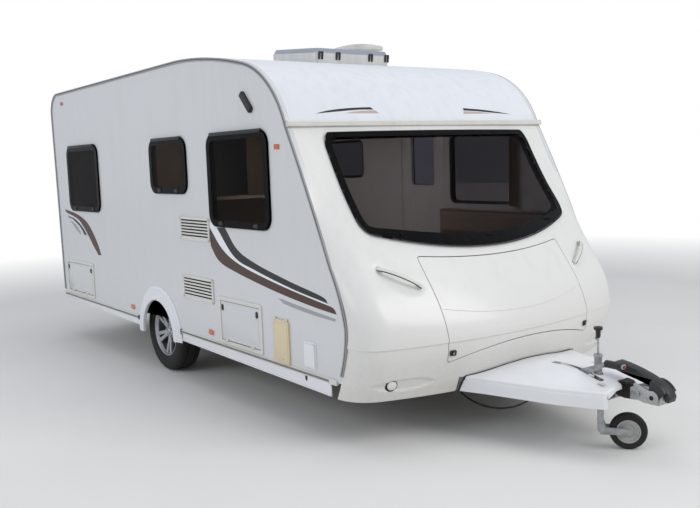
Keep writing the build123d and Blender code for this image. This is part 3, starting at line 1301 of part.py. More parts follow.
with BuildPart() as a_frame_cover:
    add(cover_body(0))
    add(cover_body(COVER_WALL), mode=Mode.SUBTRACT)
    add(front_body(SEAT), mode=Mode.SUBTRACT)
    with BuildSketch(Plane.XY.offset(COVER_FOOT)):
        with Locations(JOCKEY):
            Circle(TUBE_RADIUS + 6)
        with Locations(((2300 + 2640) / 2, LEVER_Y)):
            Rectangle(340, 34)
    extrude(amount=300, mode=Mode.SUBTRACT)
    with BuildSketch(Plane.YZ.offset(2650)):
        with Locations((0, SHAFT_Z - 6)):
            Rectangle(124, 124)
        with Locations((0, (COVER_FOOT + 350) / 2 - 10)):
            Rectangle(COVER_MOUTH, 350 - COVER_FOOT + 20)
    extrude(amount=200, mode=Mode.SUBTRACT)
save(a_frame_cover, "a_frame_cover")

# Corner steadies, stowed under the floor
for x, way in STEADIES:
    for side in (-1, 1):
        name = ("offside" if side < 0 else "nearside") + ("_rear" if way < 0 else "_front") + "_steady"
        with BuildPart() as steady:
            with BuildSketch(at_y(side * (STEADY_Y - 16))):
                with BuildLine():
                    Polyline((x - way * 16, STEADY_PIVOT_Z - 16), (x - way * 16, STEADY_PIVOT_Z + 16),
                             (x + way * STEADY_LENGTH, STEADY_PIVOT_Z + 4),
                             (x + way * STEADY_LENGTH, STEADY_PIVOT_Z - 26), close=True)
                make_face()
                with Locations((x, STEADY_PIVOT_Z)):
                    Circle(8 + SEAT, mode=Mode.SUBTRACT)
            extrude(amount=-side * 36)
            with BuildSketch(at_y(side * (STEADY_Y - 30))):
                with Locations((x + way * (STEADY_LENGTH - 34), STEADY_PIVOT_Z - 28)):
                    RectangleRounded(96, 10, 3)
            extrude(amount=-side * 64)
        save(steady, name)

# Furniture seen through the windows and the door
SEAT_HEIGHT = 830
with BuildPart() as furniture:
    for side, x0, x1 in ((-1, 250, 1440), (1, 262, 1440)):
        with BuildSketch(Plane.XY.offset(FLOOR_TOP)):
            with Locations(((x0 + x1) / 2, side * (INNER_HALF - 330))):
                Rectangle(x1 - x0, 650)
                with Locations((0, side * 12)):
                    Rectangle(x1 - x0 - 30, 640, mode=Mode.SUBTRACT)
        extrude(amount=SEAT_HEIGHT - FLOOR_TOP - 12)
        with BuildSketch(Plane.XY.offset(SEAT_HEIGHT - 12)):
            with Locations(((x0 + x1) / 2, side * (INNER_HALF - 330))):
                Rectangle(x1 - x0, 650)
        extrude(amount=12)
    with BuildSketch(Plane.XY.offset(FLOOR_TOP)):
        with Locations(((-330 + 195) / 2, -INNER_HALF + 290)):
            Rectangle(525, 570)
    extrude(amount=900)
    for y0, y1 in ((-INNER_HALF + 4, -300), (320, INNER_HALF - 4)):
        with BuildSketch(Plane.XY.offset(FLOOR_TOP)):
            with Locations((-1690, (y0 + y1) / 2)):
                Rectangle(24, y1 - y0)
        extrude(amount=1820)
save(furniture, "furniture")

with BuildPart() as seat_cushions:
    for side, x0, x1 in ((-1, 256, 1430), (1, 268, 1430)):
        with BuildSketch(Plane.XY.offset(SEAT_HEIGHT + SEAT)):
            with Locations(((x0 + x1) / 2, side * (INNER_HALF - 330))):
                Rectangle(x1 - x0, 640)
        extrude(amount=130)
    for side, x0, x1 in ((-1, 256, 1400), (1, 268, 1400)):
        with BuildSketch(Plane.XY.offset(SEAT_HEIGHT + 131)):
            with Locations(((x0 + x1) / 2, side * (INNER_HALF - 82))):
                Rectangle(x1 - x0, 150)
        extrude(amount=235)
save(seat_cushions, "seat_cushions")

CURTAINS = (SEAT_HEIGHT + 370, 1780)    # foot, just clear of the seat backs, and top
with BuildPart() as curtains:
    for side in (-1, 1):
        with BuildSketch(Plane.XY.offset(CURTAINS[0])):
            with Locations((990, side * (INNER_HALF - 30 - SEAT))):
                Rectangle(50, 60)
        extrude(amount=CURTAINS[1] - CURTAINS[0])
save(curtains, "curtains")

# Cable sagging under the drawbar, whole between its two glands
CABLE_RADIUS = 5
CABLE_ROUTE = ((1668, -312, 398), (1671, -311, 330), (1692, -309, 264), (1737, -306, 206), (1802, -302, 168),
               (1885, -299, 147), (1978, -298, 143), (2072, -299, 155), (2160, -301, 181), (2238, -303, 217),
               (2306, -305, 260))


def bend_radii(route):
    """Radius of each corner: 0.45 of its shorter run over the tangent of half its turn."""
    radii = []
    for before, at, after in zip(route, route[1:], route[2:]):
        run_in, run_out = Vector(*at) - Vector(*before), Vector(*after) - Vector(*at)
        turn = radians(run_in.get_angle(run_out))
        radii.append(0.45 * min(run_in.length, run_out.length) / tan(turn / 2))
    return radii


with BuildPart() as drawbar_cable:
    radii = bend_radii(CABLE_ROUTE)
    with BuildLine():
        path = FilletPolyline(*CABLE_ROUTE, radius=radii)
    with BuildSketch(Plane(origin=CABLE_ROUTE[0], z_dir=path % 0)):
        Circle(CABLE_RADIUS)
    sweep(path=path)
save(drawbar_cable, "drawbar_cable")

with BuildPart() as cable_glands:
    with BuildSketch(Plane.XY.offset(CABLE_ROUTE[0][2])):
        with Locations(CABLE_ROUTE[0][:2]):
            Circle(12)
    extrude(amount=FLOOR_UNDER - CABLE_ROUTE[0][2])
    with BuildSketch(Plane(origin=path @ 1, z_dir=path % 1)):
        Circle(9)
    extrude(amount=60)
    with BuildSketch(Plane.XY.offset(DRAWBAR_TOP - DRAWBAR_DEPTH)):
        with Locations(CABLE_ROUTE[-1][:2]):
            Rectangle(200, 200)
    extrude(amount=200, mode=Mode.SUBTRACT)
save(cable_glands, "cable_glands")
print("cable length", round(path.length), "radii", [round(r) for r in radii])
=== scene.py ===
# %% [markdown]
# # A travel caravan, dressed for the camera
#
# The exact solids come from the CAD model and are loaded as a fixed frame. Everything below adds what
# they leave plain: finishes, stripes, seals, tyres, wheels, soft furnishings and small fittings. All
# lengths are in metres, X runs forward to the hitch, Y to the door side and Z up.

# %% The frame
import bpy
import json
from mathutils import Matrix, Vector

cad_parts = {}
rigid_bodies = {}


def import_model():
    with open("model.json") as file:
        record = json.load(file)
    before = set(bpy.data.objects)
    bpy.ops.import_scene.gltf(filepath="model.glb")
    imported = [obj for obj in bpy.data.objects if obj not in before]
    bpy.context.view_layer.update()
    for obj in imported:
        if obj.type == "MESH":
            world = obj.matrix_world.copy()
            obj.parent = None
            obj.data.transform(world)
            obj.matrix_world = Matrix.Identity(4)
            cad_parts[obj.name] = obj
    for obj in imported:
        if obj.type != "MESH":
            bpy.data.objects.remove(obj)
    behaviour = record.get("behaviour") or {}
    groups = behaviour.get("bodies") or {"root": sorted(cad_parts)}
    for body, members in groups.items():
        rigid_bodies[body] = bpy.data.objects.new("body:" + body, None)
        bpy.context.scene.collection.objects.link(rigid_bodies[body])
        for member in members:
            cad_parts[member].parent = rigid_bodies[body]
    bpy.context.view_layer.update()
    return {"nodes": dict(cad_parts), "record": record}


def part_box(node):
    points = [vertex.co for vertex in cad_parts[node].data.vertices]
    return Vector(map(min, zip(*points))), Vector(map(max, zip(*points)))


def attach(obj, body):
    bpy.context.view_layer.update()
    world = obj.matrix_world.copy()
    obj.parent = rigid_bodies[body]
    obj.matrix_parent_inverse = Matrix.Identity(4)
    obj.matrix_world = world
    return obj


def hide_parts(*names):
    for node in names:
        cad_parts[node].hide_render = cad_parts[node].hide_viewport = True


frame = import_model()

# %% Tools for the whole lesson
import json
import math

import bmesh
import bpy
from mathutils import Matrix, Vector
from mathutils.kdtree import KDTree

NODES = frame["nodes"]
SLOTS = {row["node"]: row["material_slot"] for row in frame["record"]["subparts"]}
SIDES = (-1, 1)             # offside, nearside
MERGE = 0.00002             # corners that are closer than this are one
UP = Vector((0, 0, 1))


def fresh():
    """Back to object mode with nothing selected."""
    if bpy.context.object and bpy.context.object.mode != "OBJECT":
        bpy.ops.object.mode_set(mode="OBJECT")
    bpy.ops.object.select_all(action="DESELECT")


def only(piece):
    """Selects this piece alone and makes it active."""
    fresh()
    piece.hide_set(False)
    piece.select_set(True)
    bpy.context.view_layer.objects.active = piece


def edit(piece, select="SELECT", kind="FACE"):
    """Opens the piece in edit mode."""
    only(piece)
    bpy.ops.object.mode_set(mode="EDIT")
    bpy.ops.mesh.select_mode(type=kind)
    bpy.ops.mesh.select_all(action=select)


def pick(test, kind="faces"):
    """In edit mode, selects the faces, edges or corners for which test is true."""
    mesh = bmesh.from_edit_mesh(bpy.context.object.data)
    for part in getattr(mesh, kind):
        part.select_set(bool(test(part)))
    mesh.select_flush_mode()
    bmesh.update_edit_mesh(bpy.context.object.data)


def pushed(*move):
    """In edit mode, extrudes what is selected by this much."""
    bpy.ops.mesh.extrude_region_move(TRANSFORM_OT_translate={"value": move})


def everything():
    bpy.ops.mesh.select_all(action="SELECT")


def tidy(piece, turn_out=True):
    """Merges doubled corners and turns every face outwards."""
    edit(piece)
    bpy.ops.mesh.remove_doubles(threshold=MERGE)
    if turn_out:
        bpy.ops.mesh.normals_make_consistent(inside=False)
    fresh()
    return piece


def modify(piece, kind, **settings):
    """Adds a modifier, sets it and applies it."""
    only(piece)
    added = piece.modifiers.new(kind.title(), kind)
    for name, value in settings.items():
        setattr(added, name, value)
    bpy.ops.object.modifier_apply(modifier=added.name)
    return piece


def rounded(piece, width, segments=2, angle=50):
    """Bevels every edge that is sharper than angle."""
    return modify(piece, "BEVEL", width=width, segments=segments, limit_method="ANGLE",
                  angle_limit=math.radians(angle), harden_normals=False)


def smooth(piece, angle=35):
    only(piece)
    bpy.ops.object.shade_smooth_by_angle(angle=math.radians(angle))
    fresh()
    return piece


def join(pieces):
    """Several meshes become one."""
    fresh()
    for piece in pieces:
        piece.select_set(True)
    bpy.context.view_layer.objects.active = pieces[0]
    bpy.ops.object.join()
    return bpy.context.object


def copy_of(piece, mirror_y=False):
    """A copy with a mesh of its own, as it is or mirrored to the other side."""
    twin = piece.copy()
    twin.data = piece.data.copy()
    bpy.context.scene.collection.objects.link(twin)
    if mirror_y:
        twin.data.transform(Matrix.Scale(-1, 4, (0, 1, 0)))
        twin.data.flip_normals()
    return twin


def parted(piece):
    """In edit mode, the selected faces leave the piece and become one of their own."""
    before = set(bpy.context.scene.objects)
    bpy.ops.mesh.separate(type="SELECTED")
    fresh()
    return (set(bpy.context.scene.objects) - before).pop()


def place(piece):
    """Writes the piece's place, turn and scale into its mesh."""
    only(piece)
    bpy.ops.object.transform_apply(location=True, rotation=True, scale=True)
    return piece


def finished(piece, name, slot, *replaced, body="caravan", look=None, angle=35):
    """Joins a list of pieces, smooths and names the piece, dresses it and lets it ride on its body."""
    if isinstance(piece, list):
        piece = join(piece)
    if angle:
        smooth(piece, angle)
    place(piece)
    piece.name = piece.data.name = name
    piece.data.materials.clear()
    piece.data.materials.append(FINISH[look or slot])
    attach(piece, body)
    if replaced:
        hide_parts(*replaced)
    fresh()
    print("made", name)
    return piece


# %% [markdown]
# ## Shapes from a flat outline
#
# Panels, stripes and bars start as a circle whose corners are moved onto an outline, because a filled
# circle is one clean face. It is then extruded to its thickness. Round pieces start as the same open
# circle, shaped to the section of the piece, and are spun about their axle. Curved sheets start as a
# grid, and each of its corners is moved onto the sheet's own curve.

# %% Outlines, slabs, spun pieces and grids
def outline(points, filled=True):
    fresh()
    bpy.ops.mesh.primitive_circle_add(vertices=len(points), fill_type="NGON" if filled else "NOTHING")
    piece = bpy.context.object
    for corner, point in zip(piece.data.vertices, points):
        corner.co = point
    return piece


def slab(points, push):
    """A filled outline, extruded by push."""
    piece = outline(points)
    edit(piece)
    pushed(*push)
    return tidy(piece)


def spun(section, centre, axis, steps):
    """An open or closed section spun a full turn."""
    piece = outline(section, filled=False)
    edit(piece, kind="VERT")
    bpy.ops.mesh.spin(steps=steps, angle=2 * math.pi, center=centre, axis=axis)
    return tidy(piece)


def about_y(section, where, steps):
    """Spins a section, given as radius and distance along Y, about an axle through where."""
    return spun([(where[0] + r, where[1] + y, where[2]) for r, y in section], where, (0, 1, 0), steps)


def about_z(section, steps, x=0.0, y=0.0):
    """Spins a section, given as radius and height, about an upright axle."""
    return spun([(x + r, y, height) for r, height in section], (x, y, 0), (0, 0, 1), steps)


def grid(columns, rows, corner_at):
    """A grid with this many corners each way; corner_at(column, row) says where each one goes."""
    fresh()
    bpy.ops.mesh.primitive_grid_add(x_subdivisions=columns - 1, y_subdivisions=rows - 1)
    piece = bpy.context.object
    for index, corner in enumerate(piece.data.vertices):
        corner.co = corner_at(index % columns, index // columns)
    return piece


def facing(piece, axis):
    """Turns an open sheet over if it looks back along the axis, 0 to 2."""
    if sum(face.normal[axis] for face in piece.data.polygons) < 0:
        piece.data.flip_normals()
    return piece


def block(centre, size, bevel=0.0, segments=3):
    """A box whose edges are bevelled in edit mode."""
    fresh()
    bpy.ops.mesh.primitive_cube_add(size=1, location=centre, scale=size)
    piece = place(bpy.context.object)
    if bevel:
        edit(piece)
        bpy.ops.mesh.bevel(offset=bevel, segments=segments, affect="EDGES")
    fresh()
    return piece


def rod(start, end, radius, sides=20, bevel=0.0):
    """A round bar from start to end."""
    fresh()
    start, end = Vector(start), Vector(end)
    bpy.ops.mesh.primitive_cylinder_add(
        vertices=sides, radius=radius, depth=(end - start).length, location=(start + end) / 2,
        rotation=(end - start).to_track_quat("Z", "Y").to_euler())
    piece = place(bpy.context.object)
    return rounded(piece, bevel) if bevel else piece


def pin(x, z, start, end, *sizes):
    """A round bar along Y; sizes are its radius, sides and bevel."""
    return rod((x, start, z), (x, end, z), *sizes)


def round_rect(x0, x1, z0, z1, radius, steps=6):
    """Corners of a rounded rectangle, across and up."""
    points = []
    for cx, cz, start in ((x1 - radius, z1 - radius, 0), (x0 + radius, z1 - radius, 90),
                          (x0 + radius, z0 + radius, 180), (x1 - radius, z0 + radius, 270)):
        for step in range(steps + 1):
            turn = math.radians(start + 90 * step / steps)
            points.append((cx + radius * math.cos(turn), cz + radius * math.sin(turn)))
    return points


def plate(box, corner, y, push, bevel=0.0, segments=2):
    """A plate with round corners on the plane at y, pushed along Y; box is x, x, z, z."""
    piece = slab([(x, y, z) for x, z in round_rect(*box, corner)], (0, push, 0))
    return rounded(piece, bevel, segments) if bevel else piece


def ring_sheet(box, corner, inset, y, push):
    """A flat ring on the plane at y: a plate's outline, less its middle, then thickened."""
    piece = outline([(x, y, z) for x, z in round_rect(*box, corner)])
    edit(piece)
    bpy.ops.mesh.inset(thickness=inset, depth=0)
    bpy.ops.mesh.delete(type="FACE")
    everything()
    pushed(0, push, 0)
    return tidy(piece)


# %% [markdown]
# ## Camera
#
# The photograph was taken from the front offside corner at eye height. The camera stands where it
# stood, with the same slight roll, so that the render can be laid over it.

# %% Camera
EYE = Vector((5.3396, -3.7944, 1.6089))
YAW, PITCH, ROLL = math.radians(37.0), math.radians(6.468), math.radians(-2.0587)
FOCAL_PIXELS, IMAGE_WIDTH, SENSOR = 848.12, 700, 36


def placed(name, data, matrix):
    """A camera or lamp in the scene."""
    made = bpy.data.objects.new(name, data)
    bpy.context.scene.collection.objects.link(made)
    made.matrix_world = matrix
    return made


forward = Vector((-math.cos(PITCH) * math.cos(YAW), math.cos(PITCH) * math.sin(YAW), -math.sin(PITCH)))
level_right = forward.cross(UP).normalized()
level_up = level_right.cross(forward)
right = math.cos(ROLL) * level_right + math.sin(ROLL) * level_up
up = math.cos(ROLL) * level_up - math.sin(ROLL) * level_right
lens = bpy.data.cameras.new("photo_camera")
lens.sensor_width = SENSOR
lens.lens = FOCAL_PIXELS / IMAGE_WIDTH * SENSOR
turn = Matrix((right, up, -forward)).transposed().to_4x4()
bpy.context.scene.camera = placed("photo_camera", lens, Matrix.Translation(EYE) @ turn)
bpy.context.scene.view_settings.view_transform = "Standard"
print("lens", round(lens.lens, 2), "mm")


# %% [markdown]
# ## Finishes
#
# A caravan is mostly white plastic and painted aluminium, so its look comes from what years outdoors
# do to it: faint upright rain streaks, road dirt that gathers low down, and a slight orange peel in
# the gloss. Those effects are built once as node groups and placed in each material with its own
# values. They read Object coordinates, because every piece has its place in its mesh.

# %% Node helpers
def linear(red, green, blue):
    """A colour as a picture editor shows it, 0 to 255, as the linear values that shaders use."""
    return tuple((c / 255 / 12.92) if c / 255 <= 0.04045 else ((c / 255 + 0.055) / 1.055) ** 2.4
                 for c in (red, green, blue)) + (1.0,)


def new_group(name, inputs, outputs):
    """An empty shader group; inputs has each socket's value, a number or a colour, by its name."""
    group = bpy.data.node_groups.new(name, "ShaderNodeTree")
    for socket, value in inputs.items():
        kind = "Float" if isinstance(value, float) else "Color"
        made = group.interface.new_socket(socket, in_out="INPUT", socket_type="NodeSocket" + kind)
        made.default_value = value
    for socket in outputs:
        kind = "Color" if socket == "Colour" else "Float"
        group.interface.new_socket(socket, in_out="OUTPUT", socket_type="NodeSocket" + kind)
    return group, group.nodes.new("NodeGroupInput").outputs, group.nodes.new("NodeGroupOutput").inputs


def add_node(tree, kind, values=None, **settings):
    node = tree.nodes.new("ShaderNode" + kind)
    for name, value in settings.items():
        setattr(node, name, value)
    for name, value in (values or {}).items():
        node.inputs[name].default_value = value
    return node


def wire(tree, *pairs):
    for source, target in pairs:
        tree.links.new(source, target)


def feed(tree, rows):
    """Fills inputs, each from a socket or with a plain value."""
    for target, value in rows:
        if isinstance(value, (int, float, tuple)):
            target.default_value = value
        elif value is not None:
            tree.links.new(value, target)


def texture(tree, kind, values=None, stretch=None, **settings):
    """A node that reads Object coordinates, stretched if need be."""
    node, source = add_node(tree, kind, values, **settings), add_node(tree, "TexCoord").outputs["Object"]
    if stretch:
        mapping = add_node(tree, "Mapping", {"Scale": stretch})
        wire(tree, (source, mapping.inputs[0]))
        source = mapping.outputs[0]
    wire(tree, (source, node.inputs["Vector"]))
    return node


def noise(tree, scale, detail, rough=0.5, stretch=None):
    return texture(tree, "TexNoise", {"Scale": scale, "Detail": detail, "Roughness": rough},
                   stretch).outputs[0]


def number(tree, operation, a, b=None, clamp=False):
    """One Math node; a and b are sockets or numbers."""
    node = add_node(tree, "Math", operation=operation, use_clamp=clamp)
    feed(tree, zip(node.inputs, (a, b)))
    return node.outputs[0]


def mixed(tree, mask, first, second):
    """A colour mix of two sockets or colours by mask."""
    node = add_node(tree, "Mix", data_type="RGBA")
    feed(tree, zip((node.inputs[0], node.inputs[6], node.inputs[7]), (mask, first, second)))
    return node.outputs[2]


# %% Weathering: streaks, specks and low road dirt
MID_GREY, ROAD_DIRT, ZINC_GRIME = (0.5, 0.5, 0.5, 1), (120, 108, 88), (96, 96, 94)
weathering, given, result = new_group(
    "weathering", {"Colour": (0.8, 0.8, 0.8, 1), "Dirt": linear(*ROAD_DIRT), "Streaks": 0.2,
                   "Road Dirt": 0.3, "Dirt Top": 0.9, "Roughness": 0.25}, ("Colour", "Roughness", "Height"))


def sums(operation, a, b, clamp=False):
    return number(weathering, operation, a, b, clamp)


streak = noise(weathering, 3.0, 6.0, 0.62, (5.0, 5.0, 0.45))
speck, cloud = noise(weathering, 38.0, 4.0, 0.7), noise(weathering, 2.2, 4.0, 0.55)
height = texture(weathering, "SeparateXYZ").outputs[2]
runs = sums("MULTIPLY", sums("SUBTRACT", streak, 0.46, True), 3.2, True)
runs = sums("MULTIPLY", runs, given["Streaks"], True)
low = sums("DIVIDE", sums("SUBTRACT", given["Dirt Top"], height), 0.75, True)
low = sums("MULTIPLY", sums("POWER", low, 1.7), given["Road Dirt"])
spots = sums("ADD", sums("MULTIPLY", speck, 0.8), sums("MULTIPLY", cloud, 0.5))
dirt_mask = sums("MAXIMUM", runs, sums("MULTIPLY", low, spots, True), True)
wire(weathering, (mixed(weathering, dirt_mask, given["Colour"], given["Dirt"]), result["Colour"]),
     (sums("ADD", sums("MULTIPLY", dirt_mask, 0.4), given["Roughness"], True), result["Roughness"]),
     (noise(weathering, 210.0, 1.0), result["Height"]))

# %% Metal: zinc spangle and fine scratches
zinc, given, result = new_group(
    "zinc", {"Colour": MID_GREY, "Scale": 60.0, "Contrast": 0.35, "Roughness": 0.38},
    ("Colour", "Roughness", "Height"))
cells, tone = texture(zinc, "TexVoronoi"), add_node(zinc, "SeparateColor")
grime = noise(zinc, 14.0, 6.0, 0.65)
wire(zinc, (given["Scale"], cells.inputs["Scale"]), (cells.outputs["Color"], tone.inputs[0]))
shade = number(zinc, "MULTIPLY", number(zinc, "ADD", tone.outputs[0], grime), given["Contrast"], True)
wire(zinc, (mixed(zinc, shade, given["Colour"], linear(*ZINC_GRIME)), result["Colour"]),
     (number(zinc, "ADD", number(zinc, "MULTIPLY", grime, 0.3), given["Roughness"]), result["Roughness"]),
     (grime, result["Height"]))

# %% Cloth: a plain weave with thread by thread colour
cloth, given, result = new_group(
    "cloth", {"Colour": MID_GREY, "Second": (0.4, 0.4, 0.4, 1), "Threads": 700.0}, ("Colour", "Height"))
warp, weft = (texture(cloth, "TexWave", {"Distortion": 0.4}, bands_direction=way) for way in "XZ")
wire(cloth, (given["Threads"], warp.inputs["Scale"]), (given["Threads"], weft.inputs["Scale"]))
woven = number(cloth, "MULTIPLY", number(cloth, "ADD", warp.outputs[1], weft.outputs[1]), 0.5)
fleck = number(cloth, "MULTIPLY", number(cloth, "ADD", woven, noise(cloth, 26.0, 5.0, 0.7)), 0.6, True)
wire(cloth, (mixed(cloth, fleck, given["Colour"], given["Second"]), result["Colour"]),
     (woven, result["Height"]))


# %% Materials from the groups
def shader(name, bump=0.0, distance=0.001, **fixed):
    """A new material with a Principled shader, its plain values set, and a Bump node if it needs one."""
    material = bpy.data.materials.new(name)
    material.use_nodes = True
    tree = material.node_tree
    principled, relief = tree.nodes["Principled BSDF"], None
    for socket, value in fixed.items():
        principled.inputs[socket.replace("_", " ")].default_value = value
    if bump:
        relief = add_node(tree, "Bump", {"Strength": bump, "Distance": distance})
        wire(tree, (relief.outputs[0], principled.inputs["Normal"]))
    return material, tree, principled, relief


def clad(name, group, bump, distance, values, **fixed):
    """A material whose shader is fed by one of the groups."""
    material, tree, principled, relief = shader(name, bump, distance, **fixed)
    skin = add_node(tree, "Group", values, node_tree=group)
    for source, target in (("Colour", principled.inputs["Base Color"]), ("Height", relief.inputs["Height"]),
                           ("Roughness", principled.inputs["Roughness"])):
        if source in skin.outputs:
            wire(tree, (skin.outputs[source], target))
    return material


def painted(name, colour, rough, streaks, road, top, coat=0.3, dirt=ROAD_DIRT, bump=0.05, **fixed):
    """Gloss plastic or paint with weathering: rain streaks, and road dirt up to the height top."""
    values = {"Colour": linear(*colour), "Dirt": linear(*dirt), "Streaks": streaks, "Road Dirt": road,
              "Dirt Top": top, "Roughness": rough}
    return clad(name, weathering, bump, 0.0004, values, Coat_Weight=coat, Coat_Roughness=0.12, **fixed)


def metal(name, colour, rough, scale, contrast, metallic, bump=0.1):
    values = {"Colour": linear(*colour), "Scale": scale, "Contrast": contrast, "Roughness": rough}
    return clad(name, zinc, bump, 0.0006, values, Metallic=metallic)


def fabric(name, colour, second, threads=700.0):
    values = {"Colour": linear(*colour), "Second": linear(*second), "Threads": threads}
    return clad(name, cloth, 0.35, 0.0008, values, Roughness=0.9, Sheen_Weight=0.25)


def glazing(name, colour, rough=0.02, transmission=1.0, coat=0.0):
    """Tinted acrylic, with a slight unevenness that shows in its reflections."""
    material, tree, principled, relief = shader(
        name, 0.02, 0.002, Base_Color=linear(*colour), Transmission_Weight=transmission, IOR=1.08,
        Roughness=rough, Coat_Weight=coat)
    wire(tree, (noise(tree, 4.0, 2.0), relief.inputs["Height"]))
    return material


FINISH = {
    # the slots of the record
    "side_panels": painted("side_panel_skin", (214, 215, 216), 0.22, 0.04, 0.35, 0.75),
    "white_moulding": painted("white_moulding_skin", (230, 231, 233), 0.34, 0.05, 0.16, 0.5, 0.15,
                              (140, 134, 122)),
    "cream_moulding": painted("cream_moulding_skin", (228, 227, 224), 0.30, 0.10, 0.42, 1.0, 0.2,
                              (158, 148, 126)),
    "trim": painted("cream_trim", (218, 217, 210), 0.34, 0.12, 0.3, 0.7),
    "aged_plastic": painted("yellowed_plastic", (222, 205, 172), 0.4, 0.15, 0.3, 0.7, 0.1),
    "grey_plastic": painted("handle_plastic", (214, 211, 202), 0.4, 0.2, 0.2, 1.3, 0.1),
    "tinted_acrylic": glazing("tinted_acrylic", (138, 135, 141)),
    "seal": painted("black_rubber", (22, 22, 23), 0.62, 0.12, 0.3, 0.7, 0.0, (88, 84, 76), 0.15),
    "roof_acrylic": glazing("frosted_acrylic", (190, 196, 206), 0.35, 0.55, 0.2),
    "roof_frame": painted("roof_plastic", (206, 205, 202), 0.4, 0.25, 0.0, 0.1, 0.1),
    "amber_lens": painted("amber_lens", (206, 96, 38), 0.12, 0.05, 0.2, 0.6, 0.6),
    "clear_lens": painted("clear_lens", (226, 226, 220), 0.08, 0.05, 0.2, 0.6, 0.8),
    "red_lens": painted("red_lens", (150, 22, 20), 0.1, 0.05, 0.2, 0.9, 0.8),
    "galvanised": metal("galvanised_steel", (188, 190, 192), 0.38, 60.0, 0.3, 0.85),
    "cast_head": metal("zinc_casting", (196, 197, 197), 0.42, 30.0, 0.22, 0.7, 0.25),
    "black_plastic": painted("black_plastic", (28, 28, 30), 0.45, 0.1, 0.2, 0.8, 0.05, (90, 86, 78), 0.2),
    "alloy": metal("silver_lacquer", (186, 188, 192), 0.28, 220.0, 0.12, 0.85, 0.03),
    "tyre": painted("tyre_rubber", (12, 12, 13), 0.75, 0.1, 0.25, 0.6, 0.0, (96, 88, 76), 0.3),
    "jockey_centre": painted("jockey_plastic", (176, 176, 172), 0.5, 0.2, 0.5, 0.3, 0.0),
    "floor_board": painted("sealed_ply", (98, 84, 66), 0.7, 0.3, 0.5, 0.6, 0.0),
    "furniture_wood": painted("veneer", (152, 130, 108), 0.45, 0.1, 0.0, 0.1, 0.1),
    "upholstery": fabric("upholstery_cloth", (168, 156, 144), (122, 110, 100)),
    "curtain": fabric("curtain_cloth", (178, 150, 116), (146, 118, 86), 900.0),
    # looks of single pieces
    "black_band": painted("black_print", (14, 14, 15), 0.12, 0.03, 0.1, 0.6, 0.02, bump=0.01,
                          Specular_IOR_Level=0.06),
    "stripe_black": painted("stripe_black", (23, 23, 27), 0.35, 0.05, 0.15, 0.6, 0.1),
    "stripe_brown": painted("stripe_brown", (70, 44, 35), 0.35, 0.05, 0.12, 0.6, 0.1),
    "stripe_tan": painted("stripe_tan", (188, 168, 158), 0.35, 0.05, 0.1, 0.6),
    "stripe_silver": painted("stripe_silver", (158, 160, 164), 0.35, 0.05, 0.2, 0.6),
    "red_plastic": painted("red_plastic", (150, 30, 28), 0.35, 0.05, 0.1, 0.6, 0.2),
    "stripe_white": painted("stripe_white", (238, 239, 242), 0.3, 0.03, 0.15, 0.6),
    "rail_grey": painted("rail_insert", (142, 142, 141), 0.45, 0.15, 0.35, 0.7, 0.0),
    "piping_cloth": fabric("piping_cloth", (128, 106, 82), (96, 78, 58)),
    "roof_skin": painted("roof_skin", (226, 229, 234), 0.5, 0.10, 0.0, 0.1, 0.0),
    "side_glass": glazing("side_acrylic", (104, 101, 100)),
    # darker alloy for the inside of the wheel's barrel: brake dust and painted shade
    "dusty_shaded_alloy": metal("wheel_well_dust_and_shade", (84, 85, 88), 0.55, 90.0, 0.3, 0.6),
    "edge_grey": painted("edge_rail_grey", (150, 151, 154), 0.4, 0.2, 0.3, 0.7, 0.1),
    # a black finish for painted shade, where an opening or bore would be in shade
    "painted_shade": painted("painted_shade_black", (20, 20, 21), 0.8, 0.0, 0.3, 0.6, 0.0),
}
OWN_LOOK = {"roof": "roof_skin", "window_panes": "side_glass"}
for node, solid in NODES.items():
    solid.data.materials.clear()
    solid.data.materials.append(FINISH[OWN_LOOK.get(node, SLOTS[node])])
print("finishes", len(FINISH), "on", len(NODES), "nodes")

# %% [markdown]
# ## Floor and light
#
# A pale floor that turns into a pale background, one large soft light from the front, a weaker one on
# the offside and one above, a small one in the cabin, and a pale sky. The background's white comes from
# its own colour, never from more light on the caravan.

# %% Floor
FADE_START, FADE_LENGTH = 5.5, 5.0
fresh()
bpy.ops.mesh.primitive_plane_add(size=60, location=(0, 0, 0))
ground = bpy.context.object
ground.name = "studio_floor"
floor_finish, tree, principled, _ = shader("studio_floor", Roughness=0.9)
mottle = noise(tree, 0.8, 5.0)
far_white, fade, seen_by = (add_node(tree, kind) for kind in ("Emission", "MixShader", "LightPath"))
reach = texture(tree, "VectorMath", operation="LENGTH").outputs["Value"]
far = number(tree, "DIVIDE", number(tree, "SUBTRACT", reach, FADE_START), FADE_LENGTH, True)
shown = number(tree, "MAXIMUM", seen_by.outputs["Is Camera Ray"], seen_by.outputs["Is Transmission Ray"])
wire(tree, (mixed(tree, mottle, linear(222, 221, 218), linear(232, 231, 228)),
            principled.inputs["Base Color"]),
     (number(tree, "MULTIPLY", far, shown), fade.inputs[0]), (principled.outputs[0], fade.inputs[1]),
     (far_white.outputs[0], fade.inputs[2]), (fade.outputs[0],
                                              tree.nodes["Material Output"].inputs["Surface"]))
ground.data.materials.append(floor_finish)

